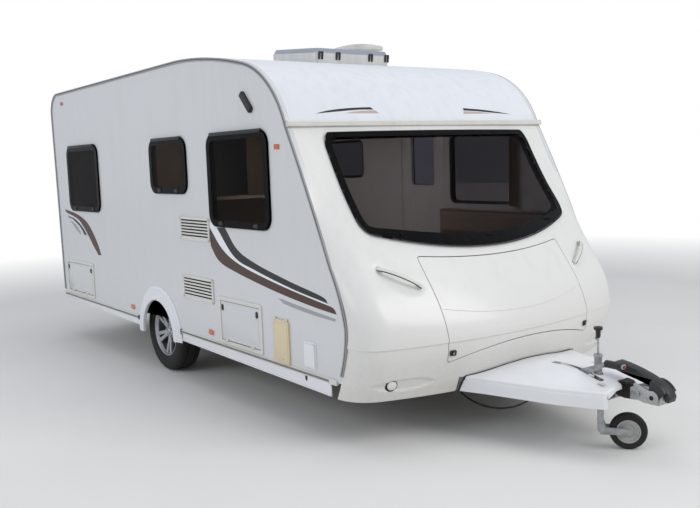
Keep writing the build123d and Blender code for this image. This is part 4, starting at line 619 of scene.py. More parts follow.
# %% Sky and lamps
SKY_STRENGTH = 0.69
world = bpy.context.scene.world or bpy.data.worlds.new("sky")
bpy.context.scene.world = world
world.use_nodes = True
tree = world.node_tree
tree.nodes.clear()
sky = add_node(tree, "Background", {"Color": linear(228, 233, 241), "Strength": SKY_STRENGTH})
seen = add_node(tree, "Background", {"Color": (1, 1, 1, 1), "Strength": 1.0})
mix_sky, path, out = (add_node(tree, kind) for kind in ("MixShader", "LightPath", "OutputWorld"))
wire(tree, (path.outputs["Is Camera Ray"], mix_sky.inputs[0]), (sky.outputs[0], mix_sky.inputs[1]),
     (seen.outputs[0], mix_sky.inputs[2]), (mix_sky.outputs[0], out.inputs["Surface"]))
for name, where, target, size, watts, colour in (
        ("key", (9.0, 3.0, 6.5), (1.5, 0.0, 1.2), (6, 5), 390, (1.0, 0.98, 0.96)),
        ("offside_fill", (-1.0, -9.5, 4.5), (-0.5, -1.0, 1.2), (8, 4), 225, (0.93, 0.96, 1.0)),
        ("top", (-0.5, 0.0, 8.0), (-0.5, 0.0, 0.0), (7, 5), 105, (1.0, 1.0, 1.0)),
        ("cabin", (-0.35, 0.0, 2.02), (-0.35, 0.0, 0.0), (1.8, 0.5), 17, (1.0, 0.95, 0.88))):
    lamp = bpy.data.lights.new(name, "AREA")
    lamp.shape, lamp.size, lamp.size_y, lamp.energy, lamp.color = "RECTANGLE", *size, watts, colour
    turn = (Vector(target) - Vector(where)).to_track_quat("-Z", "Y").to_matrix().to_4x4()
    placed(name, lamp, Matrix.Translation(where) @ turn)

# %% [markdown]
# ## The front moulding
#
# The whole nose of the caravan is one pressed plastic moulding, 30 mm thick, with a window, a gas
# locker lid, two lamps and two grab handles in it. It could be a plain box that is subdivided, but its
# lines have to run where the press tool put them, so it starts as a grid whose rows follow those
# lines. Each corner of the grid is moved onto the moulding's own curve, and small offsets give the
# raised lid, the step below it, the scoops behind the handles and the hollows round the lamps. The
# grid then gets its thickness, and the openings are cut with prisms.

# %% The moulding's curve
HALF = 1.090                # centre line to the outer face of a side wall
KNEE = 0.950                # half width of the gently bowed middle
MOULDING = (                # height, then x at the side, at the corner bend and at mid width
    (0.270, 1.588, 1.798, 1.970), (0.364, 1.629, 1.840, 2.005), (0.575, 1.699, 1.895, 2.046),
    (0.757, 1.693, 1.858, 1.974), (1.011, 1.579, 1.688, 1.798), (1.180, 1.505, 1.572, 1.662),
    (1.420, 1.389, 1.402, 1.470), (1.811, 1.188, 1.190, 1.198))
FOOT, TOP = MOULDING[0][0], MOULDING[-1][0]
WALL = 0.030
LID_THICK = 0.022
GAP = 0.005


def along(table, where):
    """The other columns of the table at this value of its first column, by smooth curves between rows."""
    where = min(max(where, table[0][0]), table[-1][0])
    i = max(k for k in range(len(table) - 1) if table[k][0] <= where)
    low, high = table[i], table[i + 1]
    span = high[0] - low[0]
    t = (where - low[0]) / span

    def slope(k, column):
        before, after = table[max(k - 1, 0)], table[min(k + 1, len(table) - 1)]
        return (after[column] - before[column]) / (after[0] - before[0])

    return [low[c] * (1 + 2 * t) * (1 - t) ** 2 + high[c] * t * t * (3 - 2 * t)
            + span * (slope(i, c) * t * (1 - t) ** 2 + slope(i + 1, c) * t * t * (t - 1))
            for c in range(1, len(low))]


def moulding_point(across, height):
    """Point of the moulding; across is y up to the corner bend, then 1 to 2 round the corner's arc."""
    side_x, knee_x, mid_x = along(MOULDING, height)
    way = 1 if across >= 0 else -1
    sag = mid_x - knee_x
    bow = (KNEE ** 2 + sag ** 2) / (2 * sag)
    if abs(across) <= KNEE:
        return Vector((mid_x - bow + math.sqrt(bow ** 2 - across ** 2), across, height))
    normal = Vector((knee_x - mid_x + bow, KNEE)).normalized()
    knee, side = Vector((knee_x, KNEE)), Vector((side_x, HALF))
    centre = knee - (knee - side).length_squared / (2 * normal.dot(knee - side)) * normal
    radius = (knee - centre).length
    start = math.atan2(knee.y - centre.y, knee.x - centre.x)
    end = math.atan2(side.y - centre.y, side.x - centre.x)
    turn = start + ((end - start + math.pi) % (2 * math.pi) - math.pi) * (abs(across) - 1)
    return Vector((centre.x + radius * math.cos(turn), way * (centre.y + radius * math.sin(turn)), height))


def outward_at(y, z, step=0.001):
    """The way the moulding faces here."""
    lay = moulding_point(y, z)
    return (moulding_point(y + step, z) - lay).cross(moulding_point(y, z + step) - lay).normalized()


print("nose at mid width", [round(v, 3) for v in moulding_point(0, 0.6)])

# %% Lines and hollows of the moulding
LID = {"half": 0.602, "top": (1.035, 1.000), "foot": (0.458, 0.536), "corner": 0.018}
WINDOW = {"top": (0.877, 1.759), "foot": (0.876, 1.185), "sag": 1.052, "corner": 0.095}
STEP_HEIGHT = 0.573         # a step runs right round the moulding here
CREASE = (0.757, 0.695)     # the lid's crease, at its ends and at mid width
LAMP = (0.910, 0.360, 0.032)            # y, z and radius
LAMP_HOLLOW = (0.838, 0.360, 0.178, 0.034)      # y, z, half length and half height
LID_RISE, STEP_OUT, STEP_IN, HOLLOW_DEEP, SCOOP_DEEP, SCOOP_WIDE = 0.0045, 0.004, 0.003, 0.011, 0.014, 0.085
HANDLE_ENDS = ((0.669, 0.876), (0.882, 0.990))


def ease(t):
    t = min(max(t, 0.0), 1.0)
    return t * t * (3 - 2 * t)


def crease_height(y):
    return CREASE[1] + (CREASE[0] - CREASE[1]) * min(abs(y) / LID["half"], 1.2) ** 2


def relief(y, z):
    """How far the moulding stands proud of its plain curve here; hollows are negative."""
    y, depth, crease, lid_end = abs(y), 0.0, crease_height(y), LID["half"] + 0.02
    if z > crease and y < lid_end:
        depth += LID_RISE * (1 - ease((z - crease) / 0.2)) * ease((lid_end - y) / 0.05)
    if z > STEP_HEIGHT:
        depth += STEP_OUT * (1 - ease((z - STEP_HEIGHT) / 0.07))
    else:
        depth -= STEP_IN * (1 - ease((STEP_HEIGHT - z) / 0.09))
    hollow = ((y - LAMP_HOLLOW[0]) / LAMP_HOLLOW[2]) ** 2 + abs((z - LAMP_HOLLOW[1]) / LAMP_HOLLOW[3]) ** 1.4
    depth -= HOLLOW_DEEP * ease((1.06 - hollow) / 0.30)
    (y0, z0), (y1, z1) = HANDLE_ENDS
    length = math.hypot(y1 - y0, z1 - z0)
    part = ((y - y0) * (y1 - y0) + (z - z0) * (z1 - z0)) / length ** 2
    under = ((y - y0) * (z1 - z0) - (z - z0) * (y1 - y0)) / length
    width = SCOOP_WIDE * math.sqrt(max(0.0, 1 - (2 * part - 1) ** 2 * 0.8))
    scoop = ease((part + 0.12) / 0.14) * ease((1.12 - part) / 0.14)
    scoop *= ease((under + 0.022) / 0.018) * ease((width - under) / 0.055)
    return depth - SCOOP_DEEP * scoop


# %% The moulding as a grid
EDGE = 0.0015               # half height of the crease and of the step
COLUMNS = [0.0] + [0.028 * i for i in range(1, 23)] + [0.630 + 0.0125 * i for i in range(26)] + [KNEE]
COLUMNS += [1 + i / 14 for i in range(1, 15)]
COLUMNS = [-c for c in reversed(COLUMNS[1:])] + COLUMNS
LINES = (lambda y: TOP, lambda y: crease_height(y) + EDGE, lambda y: crease_height(y) - EDGE,
         lambda y: STEP_HEIGHT + EDGE, lambda y: STEP_HEIGHT - EDGE, lambda y: FOOT)
ROW_BANDS = (74, 1, 9, 1, 36)           # rows from each line down to the next


def moulding_sheet(thickness):
    """The outer skin of the whole moulding, thickened inwards."""
    rows, inner = [], []
    for count, upper, lower in zip(ROW_BANDS, LINES, LINES[1:]):
        rows += [(upper, lower, i / count) for i in range(0 if not rows else 1, count + 1)]

    def corner_at(column, row):
        across, (upper, lower, part) = COLUMNS[column], rows[row]
        y = across if abs(across) <= KNEE else math.copysign(HALF, across)
        height = upper(y) + (lower(y) - upper(y)) * part
        point = moulding_point(across, height)
        beside = point - moulding_point(across - math.copysign(0.001, across), height)
        outward = Vector((abs(beside.y), -math.copysign(1, across) * beside.x, 0)).normalized()
        inner.append(point - outward * thickness)
        return point + outward * relief(point.y, height)

    sheet = facing(tidy(grid(len(COLUMNS), len(rows), corner_at)), 0)
    modify(sheet, "SOLIDIFY", thickness=thickness, offset=-1)
    for corner, point in zip(list(sheet.data.vertices)[len(inner):], inner):
        corner.co = point
    return sheet


def arc_through(first, mid, last, steps):
    """Points on the circle through three flat points."""
    (ax, ay), (bx, by), (cx, cy) = first, mid, last
    d = 2 * (ax * (by - cy) + bx * (cy - ay) + cx * (ay - by))
    a, b, c = (x * x + y * y for x, y in (first, mid, last))
    ux = (a * (by - cy) + b * (cy - ay) + c * (ay - by)) / d
    uy = (a * (cx - bx) + b * (ax - cx) + c * (bx - ax)) / d
    radius = math.hypot(ax - ux, ay - uy)
    start, end = math.atan2(ay - uy, ax - ux), math.atan2(cy - uy, cx - ux)
    turn = (end - start + math.pi) % (2 * math.pi) - math.pi
    return [(ux + radius * math.cos(start + turn * i / steps),
             uy + radius * math.sin(start + turn * i / steps))
            for i in range(steps + 1)]


def front_outline(top_half, top, top_mid, foot_half, foot, foot_mid, steps=40):
    """Front-view outline, y and z, with bowed top and foot."""
    return (arc_through((-top_half, top), (0, top_mid), (top_half, top), steps)
            + arc_through((foot_half, foot), (0, foot_mid), (-foot_half, foot), steps))


def window_points(inset):
    (top_half, top), (foot_half, foot) = WINDOW["top"], WINDOW["foot"]
    return front_outline(top_half - inset, top - inset, top + 0.004 - inset, foot_half - inset,
                         foot + inset, WINDOW["sag"] + inset)


def lid_points(inset):
    half, top, foot = LID["half"] - inset, LID["top"], LID["foot"]
    return front_outline(half, top[0] - inset, top[1] - inset, half, foot[0] + inset, foot[1] + inset)


def front_view(points, x, corner, segments):
    """A filled front-view outline with its four corners rounded, left in edit mode."""
    piece = outline([(x, y, z) for y, z in points])
    edit(piece, "DESELECT", "VERT")
    ends = {0, len(points) // 2 - 1, len(points) // 2, len(points) - 1}
    pick(lambda v: v.index in ends, "verts")
    bpy.ops.mesh.bevel(offset=corner, segments=segments, affect="VERTICES")
    return piece


def prism(points, corner, near=0.9, far=2.3):
    """A front-view outline with rounded corners, as a prism along X."""
    piece = front_view(points, near, corner, 8)
    everything()
    pushed(far - near, 0, 0)
    return tidy(piece)


def cut(piece, cutter, operation="DIFFERENCE"):
    """Cuts the piece with the cutter, or keeps what lies in it, and deletes the cutter."""
    modify(piece, "BOOLEAN", object=cutter, operation=operation, solver="EXACT")
    bpy.data.objects.remove(cutter, do_unlink=True)
    return piece


# %% Moulding and lid
WINDOW_LAP = 0.026
NOTCH = (0.453, 0.104, 0.355)           # middle, width and height of a drawbar's notch
THROUGH = 1.8                           # x inside the moulding's foot, for cutters
front = moulding_sheet(WALL)
cut(front, prism(window_points(WINDOW_LAP), WINDOW["corner"] - WINDOW_LAP))
cut(front, prism(lid_points(-GAP), LID["corner"] + GAP))
for side in SIDES:
    y, z, radius = side * LAMP[0], *LAMP[1:]
    cut(front, rod((THROUGH - 0.5, y, z), (THROUGH + 0.5, y, z), radius + 0.001, 48))
    cut(front, block((THROUGH, side * NOTCH[0], 0), (1.0, NOTCH[1], 2 * NOTCH[2])))
lid = moulding_sheet(LID_THICK)
cut(lid, prism(lid_points(0), LID["corner"]), "INTERSECT")
finished(tidy(front), "front_moulding", "cream_moulding", "front_panel", angle=30)
finished(tidy(lid), "gas_locker_lid_moulding", "cream_moulding", "gas_locker_lid", body="gas_locker_lid",
         angle=30)
print("moulding faces", len(front.data.polygons), "lid faces", len(lid.data.polygons))

# %% [markdown]
# ## Windows
#
# Caravan windows are double acrylic sheets that stand proud of the wall. Each has a black printed
# border, a rail along its top from which it hangs, and catches near its foot. The border is a thin
# ring just outside the sheet: the outline of the pane, inset, with its middle deleted. On the bowed
# front window the ring is finely divided and each corner moves onto the moulding's curve.

# %% Side window borders, rails and catches
REAR_WINDOW = (-2.532, -1.781, 1.215, 1.801)        # x, x, z, z
WINDOWS = {-1: (REAR_WINDOW, (-0.710, -0.108, 1.394, 1.797), (0.210, 0.980, 1.184, 1.799)),
           1: (REAR_WINDOW, (-1.520, -0.820, 1.394, 1.797), (0.262, 0.980, 1.184, 1.799))}
WINDOW_CORNER = 0.088
PANE = 0.014                # how far a pane stands out
BORDER, PRINT = 0.046, 0.0012           # width and thickness of a printed border


def shrunk(box, by):
    """A box of x, x, z, z, smaller all round."""
    return box[0] + by, box[1] - by, box[2] + by, box[3] - by


borders, fittings = [], []
for side, windows in WINDOWS.items():
    face = side * (HALF + PANE)
    for x0, x1, z0, z1 in windows:
        borders.append(ring_sheet(shrunk((x0, x1, z0, z1), 0.001), WINDOW_CORNER, BORDER, face,
                                  side * PRINT))
        rail = ((x0 + x1) / 2, face, z1 - 0.006), (x1 - x0 - 2 * WINDOW_CORNER + 0.05, 0.022, 0.024)
        fittings.append(block(*rail, 0.006))
        for x in (x0 + 0.16, x1 - 0.16):
            fittings += [block((x, face + side * 0.002, z0 + 0.024), (0.062, 0.008, 0.020), 0.003),
                         block((x + 0.012, face + side * 0.006, z0 + 0.026), (0.020, 0.006, 0.030), 0.0025)]
border = finished(borders, "side_window_borders", "seal", look="black_band")
finished(fittings, "side_window_fittings", "black_plastic")

# %% Front window border and foot bar
FRONT_BORDER = 0.036
FOOT_HALF, FOOT_TALL = 0.80, 0.028
AHEAD = 2.5                 # x in front of the nose, where pieces are drawn before they go back onto it


def wrapped(piece, proud):
    """Moves a sheet onto the moulding's curve, this far proud of it, and gives it its thickness."""
    for corner in piece.data.vertices:
        _, y, z = corner.co
        corner.co = moulding_point(y, z) + outward_at(y, z) * proud
    return modify(facing(tidy(piece, False), 0), "SOLIDIFY", thickness=PRINT, offset=1)


ring = front_view(window_points(0.002), AHEAD, WINDOW["corner"], 10)
bpy.ops.mesh.select_mode(type="FACE")
everything()
bpy.ops.mesh.inset(thickness=FRONT_BORDER, depth=0)
bpy.ops.mesh.delete(type="FACE")
everything()
bpy.ops.mesh.subdivide(number_cuts=3)
fresh()
finished(wrapped(ring, PANE + 0.0006), "front_window_border", "seal", look="black_band")

foot_line = window_points(0.003)
foot_line = sorted(point for point in foot_line[len(foot_line) // 2:] if abs(point[0]) < FOOT_HALF)


def foot_corner(column, row):
    y, z = foot_line[column]
    return AHEAD, y, z + (FOOT_TALL * (1 - (abs(y) / FOOT_HALF) ** 4) + FRONT_BORDER) * row / 3


foot_bar = wrapped(grid(len(foot_line), 4, foot_corner), PANE + 0.0020)
finished(foot_bar, "front_window_foot_bar", "seal", look="black_band")

# %% Front window rail and catches
top_half, top = WINDOW["top"]
top_bar = block((AHEAD, 0, top - 0.012), (0.010, 2 * top_half - 0.16, 0.026))
edit(top_bar)
bpy.ops.mesh.subdivide(number_cuts=18)
fresh()
for corner in top_bar.data.vertices:
    corner.co.x += moulding_point(corner.co.y, corner.co.z).x + PANE + 0.006 - AHEAD
front_fittings = [rounded(tidy(top_bar), 0.004, 3, 35)]
for y in (-0.62, 0.0, 0.62):
    base = moulding_point(y, WINDOW["sag"] + 0.055 + 0.10 * (y / WINDOW["foot"][0]) ** 2)
    front_fittings.append(block((base.x + PANE + 0.004, y, base.z), (0.014, 0.075, 0.026), 0.004))
finished(front_fittings, "front_window_fittings", "black_plastic", look="black_band")
print("window borders", len(border.data.polygons), "front border", len(ring.data.polygons))

# %% [markdown]
# ## Stripes
#
# The stripes are cut vinyl. Each is a slab 0.6 mm thick, drawn as two curves that meet in a point.
# Only the plain swooshes are made: the places of the names stay bare.

# %% Side stripes
VINYL = 0.0006
DOOR_FRAME_FRONT = 0.256


def curve_through(points, steps):
    """A smooth line through a few points, each stretch a Hermite curve."""
    points, line = [Vector(point) for point in points], []
    for i, (p0, p1) in enumerate(zip(points, points[1:])):
        before, after = points[max(i - 1, 0)], points[min(i + 2, len(points) - 1)]
        m0, m1 = (p1 - before) / (2 if i else 1), (after - p0) / (2 if i + 2 < len(points) else 1)
        for t in (step / steps for step in range(steps)):
            line.append(p0 * (2 * t ** 3 - 3 * t ** 2 + 1) + m0 * (t ** 3 - 2 * t ** 2 + t)
                        + p1 * (3 * t ** 2 - 2 * t ** 3) + m1 * (t ** 3 - t ** 2))
    return line + [points[-1]]


def stripe_line(upper, lower):
    """Once round a stripe, without the points in which its edges meet twice."""
    return (curve_through(upper, 10)[:-1 if upper[-1] == lower[0] else None]
            + curve_through(lower, 10)[:-1 if upper[0] == lower[-1] else None])


SIDE_STRIPES = (        # name, colour, upper edge and lower edge as x and z
    ("swoosh_white", "white",
     ((0.179, 1.206), (0.260, 1.190), (0.496, 0.994), (0.758, 0.925), (1.174, 0.850), (1.500, 0.806)),
     ((1.570, 0.790), (1.410, 0.811), (1.023, 0.864), (0.587, 0.944), (0.351, 1.031), (0.175, 1.176))),
    ("swoosh_black", "black",
     ((0.388, 1.183), (0.538, 1.047), (0.762, 0.971), (1.128, 0.897), (1.467, 0.840), (1.531, 0.805)),
     ((1.531, 0.805), (1.174, 0.852), (0.758, 0.927), (0.496, 0.996), (0.278, 1.176))),
    ("swoosh_brown", "brown",
     ((0.181, 1.170), (0.351, 1.029), (0.587, 0.942), (1.023, 0.862), (1.410, 0.809), (1.570, 0.788),
      (1.610, 0.752)),
     ((1.610, 0.752), (1.361, 0.772), (0.967, 0.819), (0.522, 0.892), (0.291, 0.950), (0.181, 1.047))),
    ("line_silver", "silver", ((1.011, 0.781), (1.168, 0.765), (1.359, 0.747), (1.606, 0.726)),
     ((1.591, 0.711), (1.404, 0.720), (1.215, 0.735), (1.066, 0.753))),
    ("arc_brown", "brown",
     ((-2.725, 1.222), (-2.411, 1.186), (-2.191, 1.132), (-2.049, 1.050), (-1.918, 0.927), (-1.860, 0.840)),
     ((-1.930, 0.838), (-2.043, 0.919), (-2.097, 0.964), (-2.237, 1.064), (-2.387, 1.140),
      (-2.674, 1.190))),
    ("arc_black", "black", ((-2.666, 1.163), (-2.456, 1.135), (-2.285, 1.071), (-2.177, 1.000)),
     ((-2.242, 1.000), (-2.335, 1.066), (-2.508, 1.130), (-2.609, 1.144))),
    ("arc_silver", "silver", ((-2.614, 1.120), (-2.513, 1.106), (-2.426, 1.074), (-2.315, 1.005)),
     ((-2.356, 1.003), (-2.411, 1.024), (-2.480, 1.056), (-2.533, 1.090))))
for name, colour, upper, lower in SIDE_STRIPES:
    stripe = slab([(x, -HALF, z) for x, z in stripe_line(upper, lower)], (0, -VINYL, 0))
    twin = copy_of(stripe, mirror_y=True)
    if name.startswith("swoosh"):       # on the door's side the swoosh stops at the door frame
        edit(twin)
        bpy.ops.mesh.bisect(plane_co=(DOOR_FRAME_FRONT, 0, 0), plane_no=(1, 0, 0), use_fill=True,
                            clear_inner=True)
        tidy(twin)
    finished([stripe, twin], "side_" + name, None, look="stripe_" + colour, angle=None)
print("side stripes", len(SIDE_STRIPES))

# %% [markdown]
# ## Road wheels
#
# A road tyre is vulcanised in a mould, so its section is the same all the way round and only the tread
# repeats. The section is drawn once with the grooves of its tread and is spun about the axle. The
# three tyres share 6,000 triangles, so the section is short and the finer sipes are in the bump.

# %% Tyres
JOCKEY_TURN = 37.0


def turned(piece, where, axis, degrees):
    """Turns the mesh about an axis through where."""
    there = Matrix.Translation(where)
    piece.data.transform(there @ Matrix.Rotation(math.radians(degrees), 4, axis) @ there.inverted())
    return piece


def ring_of(half_section, where, steps):
    """Spins a closed section about Y, given as radius and distance from mid plane for one half."""
    return about_y(half_section + [(r, -y) for r, y in reversed(half_section) if y > 0.0001], where, steps)


def middle_of(node):
    low, high = (Vector(corner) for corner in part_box(node))
    return (low + high) / 2


HUB, JOCKEY_HUB = middle_of("offside_tyre"), middle_of("jockey_tyre")
offside_tyre = ring_of([(0.1905, 0.0690), (0.196, 0.0800), (0.210, 0.0880), (0.240, 0.0922),
                        (0.268, 0.0905), (0.288, 0.0845), (0.2995, 0.0730), (0.3045, 0.0600),
                        (0.3055, 0.0400), (0.2985, 0.0390), (0.2985, 0.0320), (0.3065, 0.0310),
                        (0.3072, 0.0060)], HUB, 48)
jockey_tyre = ring_of([(0.0622, 0.0205), (0.066, 0.0242), (0.080, 0.0250), (0.092, 0.0222),
                       (0.0982, 0.0150), (0.0999, 0.0050)], JOCKEY_HUB, 40)
turned(jockey_tyre, JOCKEY_HUB, "Z", JOCKEY_TURN)
tyres = {"offside": offside_tyre, "nearside": copy_of(offside_tyre, mirror_y=True), "jockey": jockey_tyre}
for side, piece in tyres.items():
    finished(piece, side + "_road_tyre", "tyre", side + "_tyre", body=side + "_wheel", angle=34)
print("tyre triangles", sum(len(face.vertices) - 2 for tyre in tyres.values()
                            for face in tyre.data.polygons))

# %% [markdown]
# The alloy wheel is one casting: a barrel whose lip holds the bead, and five pairs of spokes that run
# from a dished hub to the lip. One pair is drawn as an outline in side view, extruded, and its outer
# face is dished by moving its corners inwards near the hub. Copies are turned into place. Bolts sit in
# the hub round a cap.

# %% Alloy wheels
FIRST_SPOKE, FIRST_BOLT, FIFTH = 60.0, 24.0, 72.0       # degrees
LIP = -0.0800               # outer face of the lip, from the wheel's mid plane


def around(radius, degrees, y=0.0):
    turn = math.radians(degrees)
    return HUB.x + radius * math.cos(turn), HUB.y + y, HUB.z + radius * math.sin(turn)


barrel = about_y([
    (0.1895, LIP), (0.1905, LIP + 0.006), (0.181, LIP + 0.012), (0.176, LIP + 0.026), (0.172, -0.030),
    (0.166, 0.020), (0.174, 0.072), (0.1895, 0.080), (0.184, 0.080), (0.168, 0.072), (0.160, 0.020),
    (0.166, -0.032), (0.170, LIP + 0.024), (0.178, LIP + 0.008), (0.184, LIP)], HUB, 72)
hub_disc = about_y([(0.0, -0.047), (0.026, -0.047), (0.030, -0.050), (0.034, -0.050), (0.058, -0.046),
                    (0.063, -0.040), (0.063, -0.024), (0.0, -0.024)], HUB, 48)
drum = about_y([(0.0, -0.022), (0.098, -0.022), (0.104, -0.014), (0.104, 0.040), (0.112, 0.048),
                (0.112, 0.060), (0.0, 0.060)], HUB, 48)
cap = about_y([(0.0, -0.0575), (0.014, -0.0568), (0.021, -0.0548), (0.0245, -0.0510), (0.0245, -0.0450),
               (0.0, -0.0450)], HUB, 40)
leg = [(0.052, -25.0), (0.090, -19.4), (0.130, -16.4), (0.174, -15.4), (0.174, -5.2), (0.130, -4.0),
       (0.095, -2.6)]
leg += [(0.084, 0.0)] + [(radius, -way) for radius, way in reversed(leg)]
pair = slab([around(radius, way, LIP + 0.012) for radius, way in leg], (0, 0.024, 0))
edit(pair)
bpy.ops.mesh.subdivide(number_cuts=2)
fresh()
for corner in pair.data.vertices:
    reach = math.hypot(corner.co.x - HUB.x, corner.co.z - HUB.z)
    corner.co.y += 0.020 * (1 - ease((reach - 0.045) / 0.125))
rounded(pair, 0.0035, 3)
turned(pair, HUB, "Y", -FIRST_SPOKE)
spokes = [pair] + [turned(copy_of(pair), HUB, "Y", -FIFTH * index) for index in range(1, 5)]
edit(barrel, "DESELECT")
pick(lambda f: f.calc_center_median().y < HUB.y + LIP + 0.019)
casting = join([parted(barrel), hub_disc] + spokes)
bolts = []
for index in range(5):
    x, y, z = around(0.046, FIRST_BOLT + FIFTH * index, -0.0470)
    bolts += [pin(x, z, y, y - 0.009, 0.0085, 6, 0.0012),
              pin(x, z, y + 0.002, y - 0.0015, 0.0115, 20, 0.0006)]
# the barrel inside the lip is darker: brake dust, and painted shade deep in the wheel
for piece, name, slot, look, angle in (
        (casting, "alloy_wheel", "alloy", "alloy", 40), (barrel, "wheel_barrel", "alloy", "dusty_shaded_alloy", 40),
        (drum, "brake_drum", "galvanised", "cast_head", 40),
        (join(bolts), "wheel_bolts", "alloy", "galvanised", None),
        (cap, "wheel_cap", "alloy", "alloy", 40)):
    for side, wheel in (("offside_", piece), ("nearside_", copy_of(piece, mirror_y=True))):
        replaced = [side + "rim"] if name == "alloy_wheel" else []
        finished(wheel, side + name, slot, *replaced, body=side + "wheel", look=look, angle=angle)
print("wheel casting faces", len(casting.data.polygons))

# %% Jockey wheel's centre
dish = [(0.0622, 0.0205), (0.0640, 0.0245), (0.0600, 0.0262), (0.0575, 0.0225), (0.0540, 0.0120),
        (0.0330, 0.0075), (0.0290, 0.0150), (0.0230, 0.0185), (0.0090, 0.0185)]
jockey_dish = turned(ring_of(dish, JOCKEY_HUB, 44), JOCKEY_HUB, "Z", JOCKEY_TURN)
finished(jockey_dish, "jockey_wheel_centre", "jockey_centre", "jockey_rim", body="jockey_wheel", angle=32)

# %% [markdown]
# ## A-frame cover
#
# The cover is a vacuum formed sheet of white plastic: upright sides with a small step near the top, a
# rounded shoulder and a deck that swells over the overrun housing. A formed sheet has no corners
# sharper than its mould, so it starts as a grid. Each row is one section across the cover, and the
# corners of the first row are moved back until they touch the moulding, so the cover follows the
# nose. The grid gets its thickness, and the slots are cut afterwards, as a trimming knife would.

# %% Sections of the cover
COVER = (       # x, half width, height and half width of the crown
    (1.880, 0.5038, 0.362, 0.120), (2.085, 0.4299, 0.398, 0.120), (2.260, 0.3779, 0.434, 0.120),
    (2.472, 0.3175, 0.432, 0.120), (2.600, 0.2594, 0.402, 0.110), (2.716, 0.2046, 0.372, 0.100))
COVER_FOOT, COVER_EDGE, SHOULDER = 0.268, 0.358, 0.012
COVER_NOSE, NOSE_ROUND, COVER_THICK = 2.702, 0.014, 0.004


def cover_section(x, inset=0.0):
    """Half of a section, from the foot of the side to mid width, as y and z."""
    half, crown_z, crown_half = along(COVER, x)
    half, crown_z = half - inset, crown_z - inset
    edge = min(COVER_EDGE, crown_z - 0.004) - inset
    points = [(half, COVER_FOOT), (half, 0.290), (half, 0.312), (half, 0.3310), (half - 0.0008, 0.3335),
              (half - 0.0035, 0.3350), (half - 0.0040, 0.3375)]
    for turn in (math.radians(15 * step) for step in range(7)):
        points.append((half - 0.004 - SHOULDER * (1 - math.cos(turn)),
                       edge - SHOULDER * (1 - math.sin(turn))))
    start = half - 0.004 - SHOULDER
    for t in (step / 14 for step in range(1, 15)):
        points.append((start + (crown_half - start) * t,
                       edge + (crown_z - edge) * (0.35 * t + 0.65 * ease(t))))
    swell = 0.004 * (1 - inset / 0.03)
    return points + [(crown_half * (1 - step / 7), crown_z + swell * math.sin(math.pi / 2 * step / 7))
                     for step in range(1, 8)]


HALF_COLUMNS = len(cover_section(2.1))


def cover_sheet(rows, proud=0.0, gap=0.003):
    """The cover as a sheet; a row is its part of the way to the nose and its turn round the nose."""
    across = 2 * HALF_COLUMNS - 1

    def corner_at(column, row):
        (part, nose), way = rows[row], -1 if column < HALF_COLUMNS else 1
        column = column if column < HALF_COLUMNS else across - 1 - column
        x, inset = 1.97, -proud
        for _ in range(14):             # creeps up to the moulding's face
            x = moulding_point(*cover_section(x)[column]).x + gap
        x += (COVER_NOSE - x) * part
        if nose == "lip":
            x, inset = COVER_NOSE + NOSE_ROUND, NOSE_ROUND + 0.008
        elif nose is not None:
            x += NOSE_ROUND * math.sin(math.radians(nose))
            inset = NOSE_ROUND * (1 - math.cos(math.radians(nose)))
        y, z = cover_section(min(x, COVER[-1][0]), inset)[column]
        return x, way * y, z

    sheet = facing(tidy(grid(across, len(rows), corner_at)), 2)
    return modify(sheet, "SOLIDIFY", thickness=COVER_THICK, offset=-1, use_even_offset=False)


# %% The cover, its seal and its pads
TUBE_AT = (2.568, -0.062)               # the jockey wheel's tube
rows = [(step / 44, None) for step in range(45)] + [(1.0, 18.0 * step) for step in range(1, 6)]
cover = cover_sheet(rows + [(1.0, "lip")])
cut(cover, slab([(x, y, 0.2) for x, y in round_rect(2.302, 2.638, -0.131, -0.097, 0.015)], (0, 0, 0.4)))
cut(cover, rod((*TUBE_AT, 0.2), (*TUBE_AT, 0.6), 0.027, 40))
cut(cover, slab([(2.655, y, z) for y, z in round_rect(-0.061, 0.061, 0.250, 0.386, 0.02)], (0.2, 0, 0)))
finished(tidy(cover), "hitch_cover", "white_moulding", "a_frame_cover", angle=32)
seal = cover_sheet([(-0.004, None), (0.0, None), (0.006, None), (0.011, None)], 0.003, 0.0015)
finished(seal, "hitch_cover_seal", "seal", angle=40)
pads = [block(where, (0.046, 0.020, 0.005), 0.002)
        for where in ((2.655, -0.150, 0.3835), (2.470, 0.030, 0.4355))]
finished(pads, "hitch_cover_pads", "white_moulding", look="grey_plastic")
print("cover faces", len(cover.data.polygons))

# %% [markdown]
# ## Steel parts
#
# Pressed, welded and cast parts have small radii on every edge, because a press tool or a mould can't
# hold a sharp one and a person would be cut by it. The exact solids have sharp edges. A copy of each is
# merged, its flat areas are dissolved into single faces, and every sharp edge is bevelled.

# %% Softened copies
def merged(node, flat=2):
    """A copy of a CAD node with merged corners, each flat area one face."""
    piece = copy_of(NODES[node])
    piece.parent = None
    piece.matrix_world = NODES[node].matrix_world
    edit(piece)
    bpy.ops.mesh.remove_doubles(threshold=MERGE)
    bpy.ops.mesh.dissolve_limited(angle_limit=math.radians(flat), use_dissolve_boundaries=False)
    fresh()
    return piece


def softened(node, width, segments=2, angle=35):
    """A merged copy of a CAD node with bevelled edges."""
    return smooth(rounded(merged(node), width, segments, angle), 40)


def dressed(node, width, body="caravan", look=None, segments=2, angle=35):
    """The softened copy takes its node's place."""
    finished(softened(node, width, segments, angle), node + "_dressed", SLOTS[node], node, body=body,
             look=look, angle=None)


